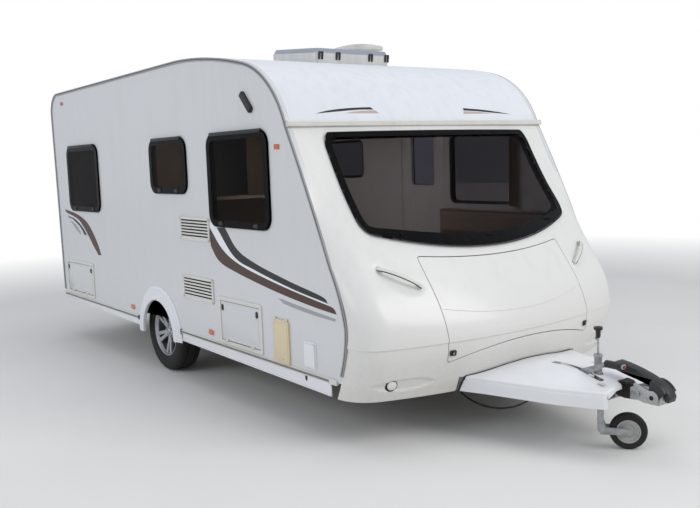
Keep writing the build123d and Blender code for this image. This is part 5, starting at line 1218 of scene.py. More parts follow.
for node, width in (("overrun_housing", 0.004), ("coupling_head", 0.005), ("drawbars", 0.0015),
                    ("chassis_members", 0.0015), ("cross_members", 0.0015), ("cable_glands", 0.0015),
                    ("axle", 0.002)):
    dressed(node, width)
for node, width, body in (("coupling_handle", 0.006, "coupling_handle"),
                          ("handbrake_lever", 0.003, "handbrake_lever"),
                          ("jockey_fork", 0.0022, "jockey_castor")):
    dressed(node, width, body)
for side in ("offside", "nearside"):
    for end in ("front", "rear"):
        dressed(f"{side}_{end}_steady", 0.002, f"{side}_{end}_steady")

# %% [markdown]
# ## Coupling, brake lever and jockey wheel
#
# The coupling's handle is a black cover over a cast arm, whose silver end shows round the pivot. The
# brake lever has a moulded grip with a release button. The jockey wheel winds up by a threaded rod with
# a T-shaped knob, in a tube that a clamp holds to the drawbar.

# %% Coupling
PIVOT = (2.890, 0.338)
GAITER = (2.6535, 2.7515, 9)            # x at its ends, and its folds
SHAFT_Z, GAITER_OUT, GAITER_IN = 0.330, 0.0345, 0.0255


def arc(centre, radius, angles):
    return [(centre[0] + radius * math.cos(math.radians(a)), centre[1] + radius * math.sin(math.radians(a)))
            for a in angles]


arm = arc(PIVOT, 0.036, range(-160, 126, 13)) + arc((2.793, 0.388), 0.0115, range(60, 241, 20))
casts, bore_shades, bolts = [], [], []
for side in SIDES:
    casts.append(rounded(slab([(x, side * 0.0535, z) for x, z in arm], (0, side * 0.005, 0)), 0.0018, 3))
    casts.append(pin(*PIVOT, side * 0.0560, side * 0.0615, 0.019, 32, 0.0015))
    # a thin black disc on each pivot boss: painted shade in the pivot's bore
    bore_shades.append(pin(*PIVOT, side * 0.0610, side * 0.0620, 0.0125, 32, 0.0004))
for x, z in ((2.772, 0.338), (2.806, 0.342)):
    for side in SIDES:
        bolts.append(pin(x, z, side * 0.0435, side * 0.0465, 0.0125, 24, 0.0006))
        bolts.append(pin(x, z, side * 0.0460, side * 0.0545, 0.0098, 6, 0.0012))
finished(casts, "coupling_arm", "cast_head", body="coupling_handle")
finished(bore_shades, "coupling_pivot_bore_shades", "black_plastic", body="coupling_handle", look="painted_shade", angle=None)
finished(bolts, "coupling_bolts", "galvanised")

first, last, folds = GAITER
pitch, fold = (last - first) / folds, []
for index in range(folds):
    start, swell = first + (last - first) * index / folds, 0.0425 - 0.004 * abs(index - 4) / 4
    fold += [(start, GAITER_OUT), (start + 0.25 * pitch, swell - 0.0015), (start + 0.5 * pitch, swell),
             (start + 0.75 * pitch, swell - 0.0015)]
fold += [(last, GAITER_OUT), (last, GAITER_IN), (first, GAITER_IN)]
gaiter = spun([(x, 0, SHAFT_Z + r) for x, r in fold], (2.7, 0, SHAFT_Z), (1, 0, 0), 48)
finished(gaiter, "overrun_gaiter", "seal", "bellows", angle=50)

# %% Brake lever grip
LEVER_Y, LEVER_Z = -0.114, 0.4865


def next_rib(ahead, size):
    """Extrudes the grip's end forward and scales it."""
    pushed(ahead, 0, 0)
    bpy.ops.transform.resize(value=(1, size, size), center_override=(0, LEVER_Y, LEVER_Z))


grip = outline([(2.6545, LEVER_Y + y, 0.487 + z)
                for y, z in round_rect(-0.0178, 0.0178, -0.0182, 0.0182, 0.012)])
edit(grip)
for step in range(12):
    next_rib(0.0085, 0.94 if step % 2 else 1 / 0.94)
next_rib(0.006, 0.7)
finished(rounded(tidy(grip), 0.0012, 2, 40), "brake_lever_grip", "black_plastic", body="handbrake_lever",
         angle=40)
button = rod((2.762, LEVER_Y, LEVER_Z), (2.7745, LEVER_Y, LEVER_Z), 0.0085, 24, 0.002)
finished(button, "brake_lever_button", "red_lens", body="handbrake_lever", look="red_plastic")

# %% Jockey tube, rod, knob and clamp
CLAMP_Z, CLAMP_BACK = 0.318, 0.010
tube_x, tube_y = TUBE_AT


def stem(section, steps=32):
    """Spins a closed section of radius and height about the jockey tube's axis."""
    return about_z(section, steps, *TUBE_AT)


tube = stem([(0.018, 0.2485), (0.021, 0.2485), (0.021, 0.500), (0.0235, 0.5015), (0.0235, 0.513),
             (0.0225, 0.5155), (0.0065, 0.5155), (0.0065, 0.511), (0.018, 0.511)])
# the drawbar's inner face
bar_inner = 0.575 + (tube_x - CLAMP_BACK - 1.660) * (0.222 - 0.575) / 0.980 - 0.047
clamp = block((tube_x - CLAMP_BACK, -(bar_inner + 0.088) / 2, CLAMP_Z), (0.036, bar_inner - 0.088, 0.052),
              0.004, 2)
collar = stem([(0.0213, 0.290), (0.0262, 0.290), (0.0270, 0.292), (0.0270, 0.344), (0.0262, 0.346),
               (0.0213, 0.346)])
clamp_bolt = pin(tube_x + 0.020, CLAMP_Z, tube_y - 0.020, tube_y - 0.058, 0.006, 16, 0.001)
finished([tube, clamp, collar, clamp_bolt], "jockey_tube", "galvanised", "jockey_outer_tube", angle=40)
thread = [(0.0, 0.5155)]
for low in (0.5160 + index * 0.0030 for index in range(30)):
    thread += [(0.0052, low), (0.0062, low + 0.0015)]
thread += [(0.0052, 0.6065), (0.0, 0.6065)]
finished(stem(thread, 20), "jockey_rod", "galvanised", angle=60)
knob = [stem([(0.0, 0.604), (0.0085, 0.604), (0.0125, 0.612), (0.0135, 0.640), (0.0165, 0.6465),
              (0.0225, 0.6490), (0.0240, 0.6530), (0.0240, 0.6600), (0.0222, 0.6640), (0.0150, 0.6658),
              (0.0, 0.6662)], 40)]
for x, y in arc(TUBE_AT, 0.0215, (0, 90, 180, 270)):
    knob.append(rod((x, y, 0.6500), (x, y, 0.6635), 0.0052, 16, 0.0016))
finished(knob, "jockey_knob", "black_plastic", angle=50)
print("thread", len(thread), "points")

# %% [markdown]
# ## Side trim
#
# The lower side of a caravan is plastic and aluminium sections: a spat over each wheel, a skirt below
# the wall and a rail with a soft insert where the two meet. A spat is formed over a round tool, so its
# section, with three fine ridges, is drawn once and spun half a turn. The rail is an extrusion, so its
# section is drawn at the tail end and pushed along the slope of the skirt.

# %% Wheel spats
ARCH, ARCH_LOW = (-0.722, 0.300), 0.292
SPAT_SECTION = ((0.272, 0.000), (0.272, 0.0205), (0.2735, 0.0238), (0.277, 0.0250), (0.3105, 0.0250),
                (0.3140, 0.0236), (0.3155, 0.0200), (0.3175, 0.0178), (0.3435, 0.0170), (0.3470, 0.0156),
                (0.3485, 0.0120), (0.3505, 0.0098), (0.3765, 0.0090), (0.3790, 0.0076), (0.3800, 0.0050),
                (0.3800, 0.000))
spats = []
for side in SIDES:
    spat = outline([(ARCH[0] + r, side * (HALF + out), ARCH_LOW) for r, out in SPAT_SECTION], filled=False)
    edit(spat, kind="VERT")
    pushed(0, 0, ARCH[1] - ARCH_LOW)
    bpy.ops.mesh.spin(steps=64, angle=math.pi, center=(ARCH[0], 0, ARCH[1]), axis=(0, 1, 0))
    pushed(0, 0, ARCH_LOW - ARCH[1])
    everything()
    bpy.ops.mesh.fill_holes(sides=0)
    spats.append(tidy(spat))
finished(spats, "wheel_spat_mouldings", SLOTS["wheel_spats"], "wheel_spats", look="white_moulding",
         angle=40)

# %% Skirts, rails and inserts
SKIRT_ENDS = ((-2.856, -1.103), (-0.341, 1.526))
SKIRT_IN, SKIRT_OUT = HALF - 0.010, HALF - 0.002


def rail_z(x):
    """Height of the wall's foot."""
    return 0.408 + (x + 2.862) * (0.364 - 0.408) / (1.629 + 2.862)


def skirt_z(x):
    return 0.271 + (1.583 - x) * 0.0205


def push_bar(section, x0, x1, side):
    """A bar with this section, as stand-off from the wall and height from its foot, along the slope."""
    return slab([(x0, side * (HALF + out), rail_z(x0) + up) for out, up in section],
                (x1 - x0, 0, rail_z(x1) - rail_z(x0)))


RAIL_SECTION = ((0.000, 0.012), (0.0070, 0.012), (0.0095, 0.0105), (0.0100, 0.0080), (0.0100, 0.0060),
                (0.0080, 0.0055), (0.0080, -0.0075), (0.0100, -0.0080), (0.0100, -0.0120),
                (0.0090, -0.0140), (-0.010, -0.0140), (-0.010, 0.000), (0.000, 0.000))
INSERT_SECTION = ((0.0078, 0.0040), (0.0092, 0.0034), (0.0096, 0.0020), (0.0096, -0.0040),
                  (0.0092, -0.0054), (0.0078, -0.0060))
# thin black strips in the gaps beside the insert and along its middle: painted shade in the rail's grooves
GROOVE_SHADE_BOXES = ((0.0079, 0.0085, 0.0055, 0.0040), (0.0079, 0.0085, -0.0060, -0.0075),
              (0.0096, 0.0098, -0.0004, -0.0018))
skirts, rails, inserts, skirt_groove_shades = [], [], [], []
for side in SIDES:
    for x0, x1 in SKIRT_ENDS:
        for y, top0, top1, out, bevel in (
                (SKIRT_IN, rail_z(x0) - 0.010, rail_z(x1) - 0.010, SKIRT_OUT - SKIRT_IN, (0.002, 3, 35)),
                (SKIRT_OUT, skirt_z(x0) + 0.010, skirt_z(x1) + 0.010, 0.003, (0.0012, 2, 35))):
            sheet = [(x0, side * y, skirt_z(x0)), (x1, side * y, skirt_z(x1)), (x1, side * y, top1),
                     (x0, side * y, top0)]
            skirts.append(rounded(slab(sheet, (0, side * out, 0)), *bevel))
        rails.append(push_bar(RAIL_SECTION, x0, x1, side))
        inserts.append(push_bar(INSERT_SECTION, x0, x1, side))
        skirt_groove_shades += [push_bar(((y0, z0), (y1, z0), (y1, z1), (y0, z1)), x0, x1, side)
                  for y0, y1, z0, z1 in GROOVE_SHADE_BOXES]
finished(skirts, "skirt_sheets", SLOTS["side_skirts"], "side_skirts", look="white_moulding")
finished(rails, "skirt_rails", "trim")
finished(inserts, "skirt_rail_inserts", "trim", look="rail_grey")
finished(skirt_groove_shades, "skirt_rail_groove_shades", "seal", angle=None)

# %% End caps and clips of the rails
CLIP = (1.280, 0.338, 1.7)              # x and z of the round clip, and its height by its width
caps, clips = [], []
for side in SIDES:
    caps.append(block((1.560, side * (HALF + 0.001), rail_z(1.56) - 0.001), (0.072, 0.026, 0.034),
                      0.008, 4))
    caps.append(block((-2.852, side * (HALF + 0.001), rail_z(-2.85) - 0.001), (0.034, 0.024, 0.032),
                      0.007, 4))
    for x in (SKIRT_ENDS[1][0], SKIRT_ENDS[0][1]):
        clips.append(block((x, side * (HALF + 0.006), rail_z(x) - 0.001), (0.010, 0.016, 0.036), 0.003))
    x, z, taller = CLIP
    clip = ((0.0, 0.0022), (0.009, 0.0020), (0.0120, 0.0010), (0.0125, -0.001), (0.0, -0.001))
    clips.append(about_y([(r, side * (SKIRT_OUT + out)) for r, out in clip], (x, 0, z), 24))
    for corner in clips[-1].data.vertices:
        corner.co.z = z + (corner.co.z - z) * taller
finished(caps, "skirt_end_caps", "trim")
finished(clips, "skirt_clips", "black_plastic", angle=40)

# %% [markdown]
# ## Edge rails
#
# The awning rail is an aluminium extrusion bent round the whole side. Its flat face carries a groove,
# and a black strip on the groove's floor is painted shade in it. The copy of the CAD rail is one clean
# face on each side, so that an inset follows the bend by itself: the strip left in the middle is pushed
# in, and its copy is the painted shade.

# %% Edge rails with painted shade in their groove
rail = merged("edge_rails", 1)
edit(rail)
pick(lambda face: abs(face.normal.y) > 0.99 and abs(abs(face.calc_center_median().y) - HALF - 0.008) < 0.001)
bpy.ops.mesh.inset(thickness=0.0085, depth=0)
bpy.ops.mesh.inset(thickness=0.0004, depth=-0.0016)
# the copy of the groove's floor becomes a black sheet: painted shade
bpy.ops.mesh.duplicate()
edge_groove_shade = parted(rail)
finished(rounded(rail, 0.0016), "edge_rail_extrusions", SLOTS["edge_rails"], "edge_rails", look="edge_grey",
         angle=40)
edit(edge_groove_shade)
bpy.ops.mesh.extrude_region_shrink_fatten(TRANSFORM_OT_shrink_fatten={"value": 0.0008})
finished(tidy(edge_groove_shade), "edge_rail_groove_shade", "seal", angle=None)

# %% [markdown]
# ## Vents, lockers and small covers
#
# A fridge vent is a frame with sloping blades that keep rain out. One blade is a thin bar whose
# section slopes, pushed along the vent, and its copies are moved down. Locker doors sit in raised
# frames and each has two catches. The battery cover is older plastic and has gone yellow.

# %% Fridge vents
SLOTS_PER_VENT, RIM = 6, 0.018
BLADE = [(-0.0035, 0.46), (-0.0050, 0.50), (-0.0092, 0.16), (-0.0096, 0.02), (-0.0086, 0.00),
         (-0.0035, 0.36)]
frames, shadows = [], []
for x0, x1, z0, z1 in ((-0.261, 0.180, 1.070, 1.235), (-0.265, 0.192, 0.645, 0.815)):
    frames.append(rounded(ring_sheet((x0, x1, z0, z1), 0.010, RIM, -HALF, -0.010), 0.0016))
    pitch = (z1 - z0 - 2 * RIM) / SLOTS_PER_VENT
    for low in (z0 + RIM + pitch * index for index in range(SLOTS_PER_VENT)):
        frames.append(slab([(x0 + 0.016, -HALF + y, low + pitch * up) for y, up in BLADE],
                           (x1 - x0 - 0.032, 0, 0)))
    # a black sheet on the wall behind the blades: painted shade in the vent's openings
    shadows.append(block(((x0 + x1) / 2, -HALF - 0.0008, (z0 + z1) / 2),
                         (x1 - x0 - 0.030, 0.0014, z1 - z0 - 0.030)))
finished(frames, "fridge_vents", SLOTS["vents_and_cover"], "vents_and_cover", angle=30)
finished(shadows, "fridge_vent_painted_shade", "black_plastic", look="painted_shade", angle=None)

# %% Small white cover
x0, x1, z0, z1 = 1.275, 1.398, 0.405, 0.560
base = plate((x0, x1, z0, z1), 0.010, -HALF, -0.005, 0.0012)
door = plate((x0 + 0.008, x1 - 0.008, z0 + 0.006, z1 - 0.014), 0.008, -HALF - 0.005, -0.007, 0.0035, 4)
knuckle = rod((x0 + 0.014, -HALF - 0.008, z1 - 0.010), (x1 - 0.014, -HALF - 0.008, z1 - 0.010), 0.0038,
              20, 0.001)
thumb = block(((x0 + x1) / 2, -HALF - 0.0125, z0 + 0.018), (0.026, 0.003, 0.008), 0.0012)
finished([base, door, knuckle, thumb], "mains_inlet_cover", "white_moulding", angle=40)

# %% Locker frames, doors and the battery cover
dressed("locker_frames", 0.0024)
for node, width in (("side_locker_door", 0.002), ("rear_locker_door", 0.002), ("battery_box_lid", 0.003)):
    dressed(node, width, node)
LEAF = -HALF - 0.005
for name, (x0, x1, z0, z1) in (("side_locker", (0.290, 0.785, 0.422, 0.683)),
                               ("rear_locker", (-2.721, -2.095, 0.460, 0.720))):
    field = plate((x0 + 0.016, x1 - 0.016, z0 + 0.022, z1 - 0.016), 0.012, LEAF, -0.0016, 0.0012)
    finished(field, name + "_field", "side_panels", body=name + "_door")
    catches, barrels, z = [], [], z1 - 0.036
    for x in (x0 + 0.026, x1 - 0.026):
        catches.append(plate((x - 0.013, x + 0.013, z1 - 0.062, z1 - 0.020), 0.010, LEAF, -0.006,
                             0.0018, 3))
        catches.append(pin(x, z, LEAF - 0.005, LEAF - 0.0095, 0.0085, 24, 0.0012))
        barrels.append(pin(x, z, LEAF - 0.009, LEAF - 0.0102, 0.0045))
    finished(catches, name + "_catches", "black_plastic", body=name + "_door", angle=40)
    finished(barrels, name + "_lock_barrels", "galvanised", body=name + "_door")
lid_face = -HALF - 0.0003 - 0.012
panel = plate((0.968, 1.112, 0.398, 0.628), 0.010, lid_face, -0.0022, 0.0016)
pull = block((1.040, lid_face - 0.004, 0.412), (0.050, 0.006, 0.010), 0.002)
finished([panel, pull], "battery_box_panel", "aged_plastic", body="battery_box_lid")

# %% [markdown]
# ## Lamps on the sides
#
# The side markers are amber lenses on pale bases. The lens is a slab with a deep rounded edge, as a
# moulded lens is. A slanting lamp bar lights the awning.

# %% Side markers and awning lamp
MARKERS = ((-1, -1.218, 0.461, 0), (-1, 0.129, 0.443, 0), (-1, -2.589, 2.198, 1), (-1, 1.077, 1.689, 0),
           (1, -1.218, 0.461, 0), (1, 0.330, 0.443, 0), (1, -2.589, 2.198, 1), (1, 1.077, 1.689, 0))
bases, ambers, reds = [], [], []
for side, x, z, red in MARKERS:         # the low ones are round, the others oblong
    wide, tall, corner = (0.038, 0.022, 0.0205) if z < 1 else (0.029, 0.018, 0.006)
    box = (x - wide, x + wide, z - tall, z + tall)
    bases.append(plate(box, corner, side * HALF, side * 0.003, 0.0008))
    lens = plate(shrunk(box, 0.0025), corner - 0.002, side * (HALF + 0.003), side * 0.006, 0.0045, 4)
    (reds if red else ambers).append(lens)
finished(ambers, "side_marker_lenses", "amber_lens", "side_markers", angle=50)
finished(reds, "rear_marker_lenses", "red_lens", angle=50)
finished(bases, "side_marker_bases", "white_moulding", angle=50)
lamps = []
for side in SIDES:
    first = Vector((0.702, side * (HALF + 0.010), 2.030))
    last = Vector((0.812, side * (HALF + 0.010), 1.913))
    bar = block((0, 0, 0), ((last - first).length, 0.030, 0.045), 0.012, 4)
    slope = math.atan2(last.z - first.z, last.x - first.x)
    bar.data.transform(Matrix.Translation((first + last) / 2) @ Matrix.Rotation(-slope, 4, "Y"))
    lamps.append(bar)
finished(lamps, "awning_lamps", "black_plastic")
print("markers", len(MARKERS))

# %% [markdown]
# ## Fittings on the nose
#
# The grab handles are bent blades that stand off the moulding in the middle and meet it at both ends.
# A blade is a grid rolled into a tube: its rows are oval sections along the handle, its first and last
# columns merge, and its ends are filled. The lid's latches and the lamps are small round pieces, each
# made upright at the origin and then stood on the moulding, so that they follow its slope.

# %% Tubes along a line, and pieces that stand on the moulding
def tube_along(stations, sides, place_corner):
    """A closed tube: place_corner(t, turn) gives the corner at part t of its length, turned round it."""
    def corner_at(column, row):
        return place_corner(row / stations, 2 * math.pi * column / sides)

    piece = grid(sides + 1, stations + 1, corner_at)
    edit(piece)
    bpy.ops.mesh.remove_doubles(threshold=0.00001)
    everything()
    bpy.ops.mesh.fill_holes(sides=0)
    return tidy(piece)


def stood(piece, y, z, sunk=0.0):
    """Stands a piece that was made upright at the origin on the moulding, or a little way in it."""
    outward = outward_at(y, z)
    across = (Vector((0, 1, 0)) - outward * outward.y).normalized()
    turn = Matrix((across.cross(outward), across, outward)).transposed().to_4x4()
    piece.data.transform(Matrix.Translation(moulding_point(y, z) - outward * sunk) @ turn)
    return piece


# %% Grab handles
BLADE_WIDE, BLADE_THICK, BLADE_OFF = 0.0125, 0.0055, 0.034
HANDLE_SLOPE = 0.53         # how much a handle rises on its way out
(y0, z0), (y1, z1) = HANDLE_ENDS
HANDLE_WAY = (moulding_point(y1, z1) - moulding_point(y0, z0)).normalized()


def blade_corner(side, wide, thick, drop=0.0):
    def corner(t, turn):
        (y0, z0), (y1, z1) = HANDLE_ENDS
        y, z = y0 + (y1 - y0) * t, z0 + (z1 - z0) * t
        outward = outward_at(y, z)
        across = HANDLE_WAY.cross(outward).normalized()
        off = BLADE_OFF * math.sin(math.pi * min(max(t, 0.02), 0.98)) ** 0.45 - 0.004
        swell = 0.72 + 0.28 * math.sin(math.pi * t)
        point = moulding_point(y, z) + outward * (off + thick * math.sin(turn))
        point += across * (wide * math.cos(turn) * swell + drop)
        return point.x, side * point.y, point.z

    return corner


handles, shadows, feet = [], [], []
for side in SIDES:
    handles.append(tube_along(22, 16, blade_corner(side, BLADE_WIDE, BLADE_THICK)))
    # a thin black tube beside each blade: a painted shadow under the handle
    shadows.append(tube_along(22, 8, blade_corner(side, 0.0022, 0.0040, BLADE_WIDE * 0.86)))
    for (y, z), inset in zip(HANDLE_ENDS, (0.012, -0.012)):
        foot = about_z([(0.0, 0.0065), (0.010, 0.006), (0.0150, 0.0035), (0.0165, -0.001), (0.0, -0.001)],
                       24)
        feet.append(stood(foot, side * (y + inset), z + inset * HANDLE_SLOPE))
finished(handles, "grab_handle_blades", SLOTS["grab_handles"], "grab_handles", look="trim", angle=50)
finished(feet, "grab_handle_feet", SLOTS["grab_handles"], angle=40)
finished(shadows, "grab_handle_painted_shadows", "black_plastic", angle=50)

# %% Lid latches, lamps and the cross strip
LATCH = (0.577, 0.513)                  # y and z
latches, barrels, lenses, rims = [], [], [], []
for side in SIDES:
    y, z = side * LATCH[0], LATCH[1]
    body = slab([(x, across, -0.001) for x, across in round_rect(-0.016, 0.016, -0.021, 0.021, 0.008)],
                (0, 0, 0.009))
    button = rod((0, 0, 0.007), (0, 0, 0.0125), 0.0115, 28, 0.0016)
    latches.append(stood(join([rounded(body, 0.0025, 3), button]), y, z))
    barrels.append(stood(rod((0, 0, 0.012), (0, 0, 0.0132), 0.0062, 20, 0.0004), y, z))
    y, z = side * LAMP[0], LAMP[1]
    lens = about_z([(0.0, 0.0045), (0.012, 0.0040), (0.022, 0.0024), (0.0275, 0.000), (0.0285, -0.004),
                    (0.0285, -0.018), (0.0, -0.018)], 40)
    lenses.append(stood(lens, y, z, 0.0045))
    rim = about_z([(0.0285, -0.016), (0.0285, -0.001), (0.0295, 0.0008), (0.0315, 0.0004), (0.0322, -0.002),
                   (0.0322, -0.016)], 40)
    rims.append(stood(rim, y, z, 0.006))
finished(latches, "gas_locker_latches", "black_plastic", body="gas_locker_lid", angle=40)
finished(barrels, "gas_locker_lock_barrels", "galvanised", body="gas_locker_lid", angle=40)
finished(lenses, "front_lamp_lenses", "clear_lens", "front_lamps", angle=40)
finished(rims, "front_lamp_rims", "seal", angle=40)
dressed("front_strip", 0.004, look="trim", segments=3)
bead_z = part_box("front_strip")[0][2] + 0.0015
finished(rod((1.1915, -1.086, bead_z), (1.1915, 1.086, bead_z), 0.0042, 16), "front_strip_bead", "seal")

# %% Swooshes on the roof's front
LUTON_X, LUTON_Z, LUTON_ROUND = 0.584, 1.5928, 0.6422       # centre and radius of the roof's front bend
LUTON_FACE = 0.48           # radians that it leans back where the swooshes are
FRONT_STRIPES = (       # name, colour, upper edge and lower edge as y and z
    ("left_black", "black", ((-0.865, 1.877), (-0.767, 1.896), (-0.635, 1.910), (-0.501, 1.917),
                             (-0.426, 1.919)),
     ((-0.409, 1.904), (-0.531, 1.902), (-0.677, 1.892), (-0.865, 1.877))),
    ("left_brown", "tan", ((-0.647, 1.880), (-0.535, 1.893), (-0.398, 1.899)),
     ((-0.376, 1.880), (-0.647, 1.880))),
    ("right_black", "black", ((0.383, 1.918), (0.549, 1.909), (0.693, 1.895), (0.834, 1.877)),
     ((0.834, 1.877), (0.644, 1.888), (0.498, 1.898), (0.378, 1.902))),
    ("right_brown", "tan", ((0.377, 1.897), (0.524, 1.892), (0.640, 1.881)),
     ((0.640, 1.881), (0.366, 1.879))))
for name, colour, upper, lower in FRONT_STRIPES:
    line = [(LUTON_X + LUTON_ROUND * math.cos(math.asin((z - LUTON_Z) / LUTON_ROUND)), y, z)
            for y, z in stripe_line(upper, lower)]
    stripe = slab(line, (VINYL * math.cos(LUTON_FACE), 0, VINYL * math.sin(LUTON_FACE)))
    finished(stripe, "front_swoosh_" + name, None, look="stripe_" + colour, angle=None)
print("front stripes", len(FRONT_STRIPES))

# %% [markdown]
# ## Roof light, aerial and rear
#
# The roof light is a frosted lid on a cream frame, hinged in four black brackets along its front. The
# solids are right, so copies of them get rounded edges, and the faces of the brackets part from the
# frame as a black piece of their own. The rear lamps are moulded housings with three lenses each.

# %% Roof light and aerial
LIGHT_TURN = math.radians(5.1)
LIGHT_ORIGIN = Vector((0.1425, 0, 2.299))
LIGHT_HALF = 0.29365


def along_light(point):
    """How far forward of the roof light's middle a point lies, along the roof."""
    ahead = point - LIGHT_ORIGIN
    return ahead.x * math.cos(LIGHT_TURN) - ahead.z * math.sin(LIGHT_TURN)


for node, black, beyond, body in (("roof_light_frame", "brackets", LIGHT_HALF + 0.0006, "caravan"),
                                  ("roof_light_lid", "knuckles", LIGHT_HALF - 0.0034, "roof_light_lid")):
    piece = softened(node, 0.0015, 3)
    edit(piece, "DESELECT")
    pick(lambda f: along_light(f.calc_center_median()) > beyond)
    brackets = parted(piece)
    finished(piece, node + "_dressed", SLOTS[node], node, body=body, angle=None)
    finished(brackets, "roof_light_" + black, "black_plastic", body=body, angle=None)
dressed("tv_aerial", 0.006, segments=4, angle=30)

# %% Door, panels and shell with worked edges
for node, width, body in (
        ("door_frame", 0.003, "caravan"), ("entry_door", 0.003, "entry_door"),
        ("window_frames", 0.002, "caravan"),
        ("rear_panel", 0.004, "caravan"), ("floor", 0.003, "caravan"), ("wheel_boxes", 0.003, "caravan"),
        ("front_bulkhead", 0.002, "caravan"), ("jockey_inner_tube", 0.0012, "jockey_stem")):
    dressed(node, width, body)

# %% Door window border and door handle
DOOR_FACE, GRIP_X = 1.097, -0.248
border = ring_sheet(shrunk((-0.212, 0.126, 1.330, 1.840), 0.001), 0.049, 0.030, DOOR_FACE, PRINT)
finished(border, "door_window_border", "seal", body="entry_door", look="black_band")
back = plate((GRIP_X - 0.022, GRIP_X + 0.022, 1.100, 1.260), 0.012, DOOR_FACE + 0.0065, 0.002)
pull = block((GRIP_X, 1.1105, 1.212), (0.030, 0.012, 0.070), 0.004)
lock = pin(GRIP_X, 1.132, 1.1045, 1.1085, 0.010, 24, 0.001)
finished([back, pull, lock], "door_handle_set", "black_plastic", body="entry_door")

# %% Rear lamps: a moulded housing with an amber, a red and a clear lens
lamp_faces = merged("rear_lamps")
edit(lamp_faces, "DESELECT")
pick(lambda f: f.normal.x < -0.7)
bpy.ops.mesh.inset(thickness=0.009, depth=0)
lens_sheet = parted(lamp_faces)
bpy.data.objects.remove(lamp_faces)
housings = softened("rear_lamps", 0.004, 3)
finished(housings, "rear_lamp_housings", SLOTS["rear_lamps"], "rear_lamps", look="black_plastic",
         angle=None)
for name, low, high in (("amber", 0.900, 1.015), ("red", 0.735, 0.896), ("clear", 0.625, 0.731)):
    lens = copy_of(lens_sheet)
    edit(lens)
    bpy.ops.mesh.bisect(plane_co=(0, 0, low), plane_no=(0, 0, 1), clear_inner=True)
    everything()
    bpy.ops.mesh.bisect(plane_co=(0, 0, high), plane_no=(0, 0, 1), clear_outer=True)
    everything()
    pushed(-0.005, 0, 0)
    finished(rounded(tidy(lens), 0.002, 3), "rear_lamp_" + name, name + "_lens")
bpy.data.objects.remove(lens_sheet)
print("rear lamps", len(lens.data.polygons), "faces a lens")

# %% [markdown]
# ## Inside, as far as the windows show it
#
# Through the glass the photograph shows veneered furniture, padded bench seats and gathered curtains.
# The furniture gets rounded edges and cupboard fronts. Each cushion is a box that is remeshed and
# blown up with Cloth, as foam fills its cover, and is then piped along its seams.

# %% Furniture and cupboard fronts
dressed("furniture", 0.003)
fronts, knobs = [], []
for x0, x1 in ((-0.322, -0.154), (-0.150, 0.018), (0.022, 0.187)):
    for z0, z1 in ((0.470, 1.080), (1.086, 1.330)):
        fronts.append(block(((x0 + x1) / 2, -0.4795, (z0 + z1) / 2), (x1 - x0, 0.009, z1 - z0), 0.003))
        knobs.append(block(((x0 + x1) / 2, -0.470, z1 - 0.045), (0.090, 0.012, 0.010), 0.003))
finished(fronts, "cupboard_fronts", SLOTS["furniture"])
finished(knobs, "cupboard_handles", "galvanised")

# %% Cushions, blown up with Cloth
SWELL, VOXEL = 0.022, 0.016
CLOTH_FRAMES, PRESSURE = 20, 4
TUCK_LOW, TUCK_HIGH = Vector((0.016, 0.016, 0.006)), Vector((0.016, 0.016, 0.020))     # room to swell
PIPE, PIPE_SIDES = 0.0045, 8


def kept_in(point, low, high, margin=0.0005):
    """The point, moved into a box if it lies outside."""
    return Vector([min(max(point[i], low[i] + margin), high[i] - margin) for i in range(3)])


def filled_cushion(low, high, name):
    """A cushion that swells into the box from low to high, with a piped seam round its top and foot."""
    low, high = Vector(low), Vector(high)
    inner_low, inner_high = low + TUCK_LOW, high - TUCK_HIGH
    middle, half = (inner_low + inner_high) / 2, (inner_high - inner_low) / 2
    pad = modify(block(middle, inner_high - inner_low, 0.022), "REMESH", mode="VOXEL", voxel_size=VOXEL)
    before = [corner.co.copy() for corner in pad.data.vertices]
    only(pad)
    blown = pad.modifiers.new("Cloth", "CLOTH")
    blown.settings.use_pressure = True
    blown.settings.uniform_pressure_force = PRESSURE
    blown.settings.effector_weights.gravity = 0
    blown.point_cache.frame_start, blown.point_cache.frame_end = 1, CLOTH_FRAMES
    for frame_number in range(1, CLOTH_FRAMES + 1):
        bpy.context.scene.frame_set(frame_number)
    bpy.ops.object.modifier_apply(modifier="Cloth")
    bpy.context.scene.frame_set(1)
    for corner, start in zip(pad.data.vertices, before):
        moved = corner.co - start
        far = moved.length
        if far > 0:
            moved *= SWELL * math.tanh(far / SWELL) / far
        corner.co = kept_in(start + moved, low, high)
    after = [corner.co.copy() for corner in pad.data.vertices]
    pad = modify(pad, "SUBSURF", levels=1, render_levels=1)
    finished(pad, name, SLOTS["seat_cushions"], "seat_cushions", angle=60)

    tree = KDTree(len(before))
    for index, start in enumerate(before):
        tree.insert(start, index)
    tree.balance()
    box = (inner_low.x + 0.004, inner_high.x - 0.004, inner_low.y + 0.004, inner_high.y - 0.004)
    pipings = []
    for z in (inner_low.z + 0.012, inner_high.z - 0.012):
        loop = []
        for point in (Vector((x, y, z)) for x, y in round_rect(*box, 0.030, 8)):
            near = [(index, 1 / (0.004 + reach)) for _, index, reach in tree.find_n(point, 6)]
            moved = sum(((after[index] - before[index]) * weight for index, weight in near), Vector())
            loop.append(point + moved / sum(weight for _, weight in near))
        pipings.append(piping(loop, low, high))
    return pipings


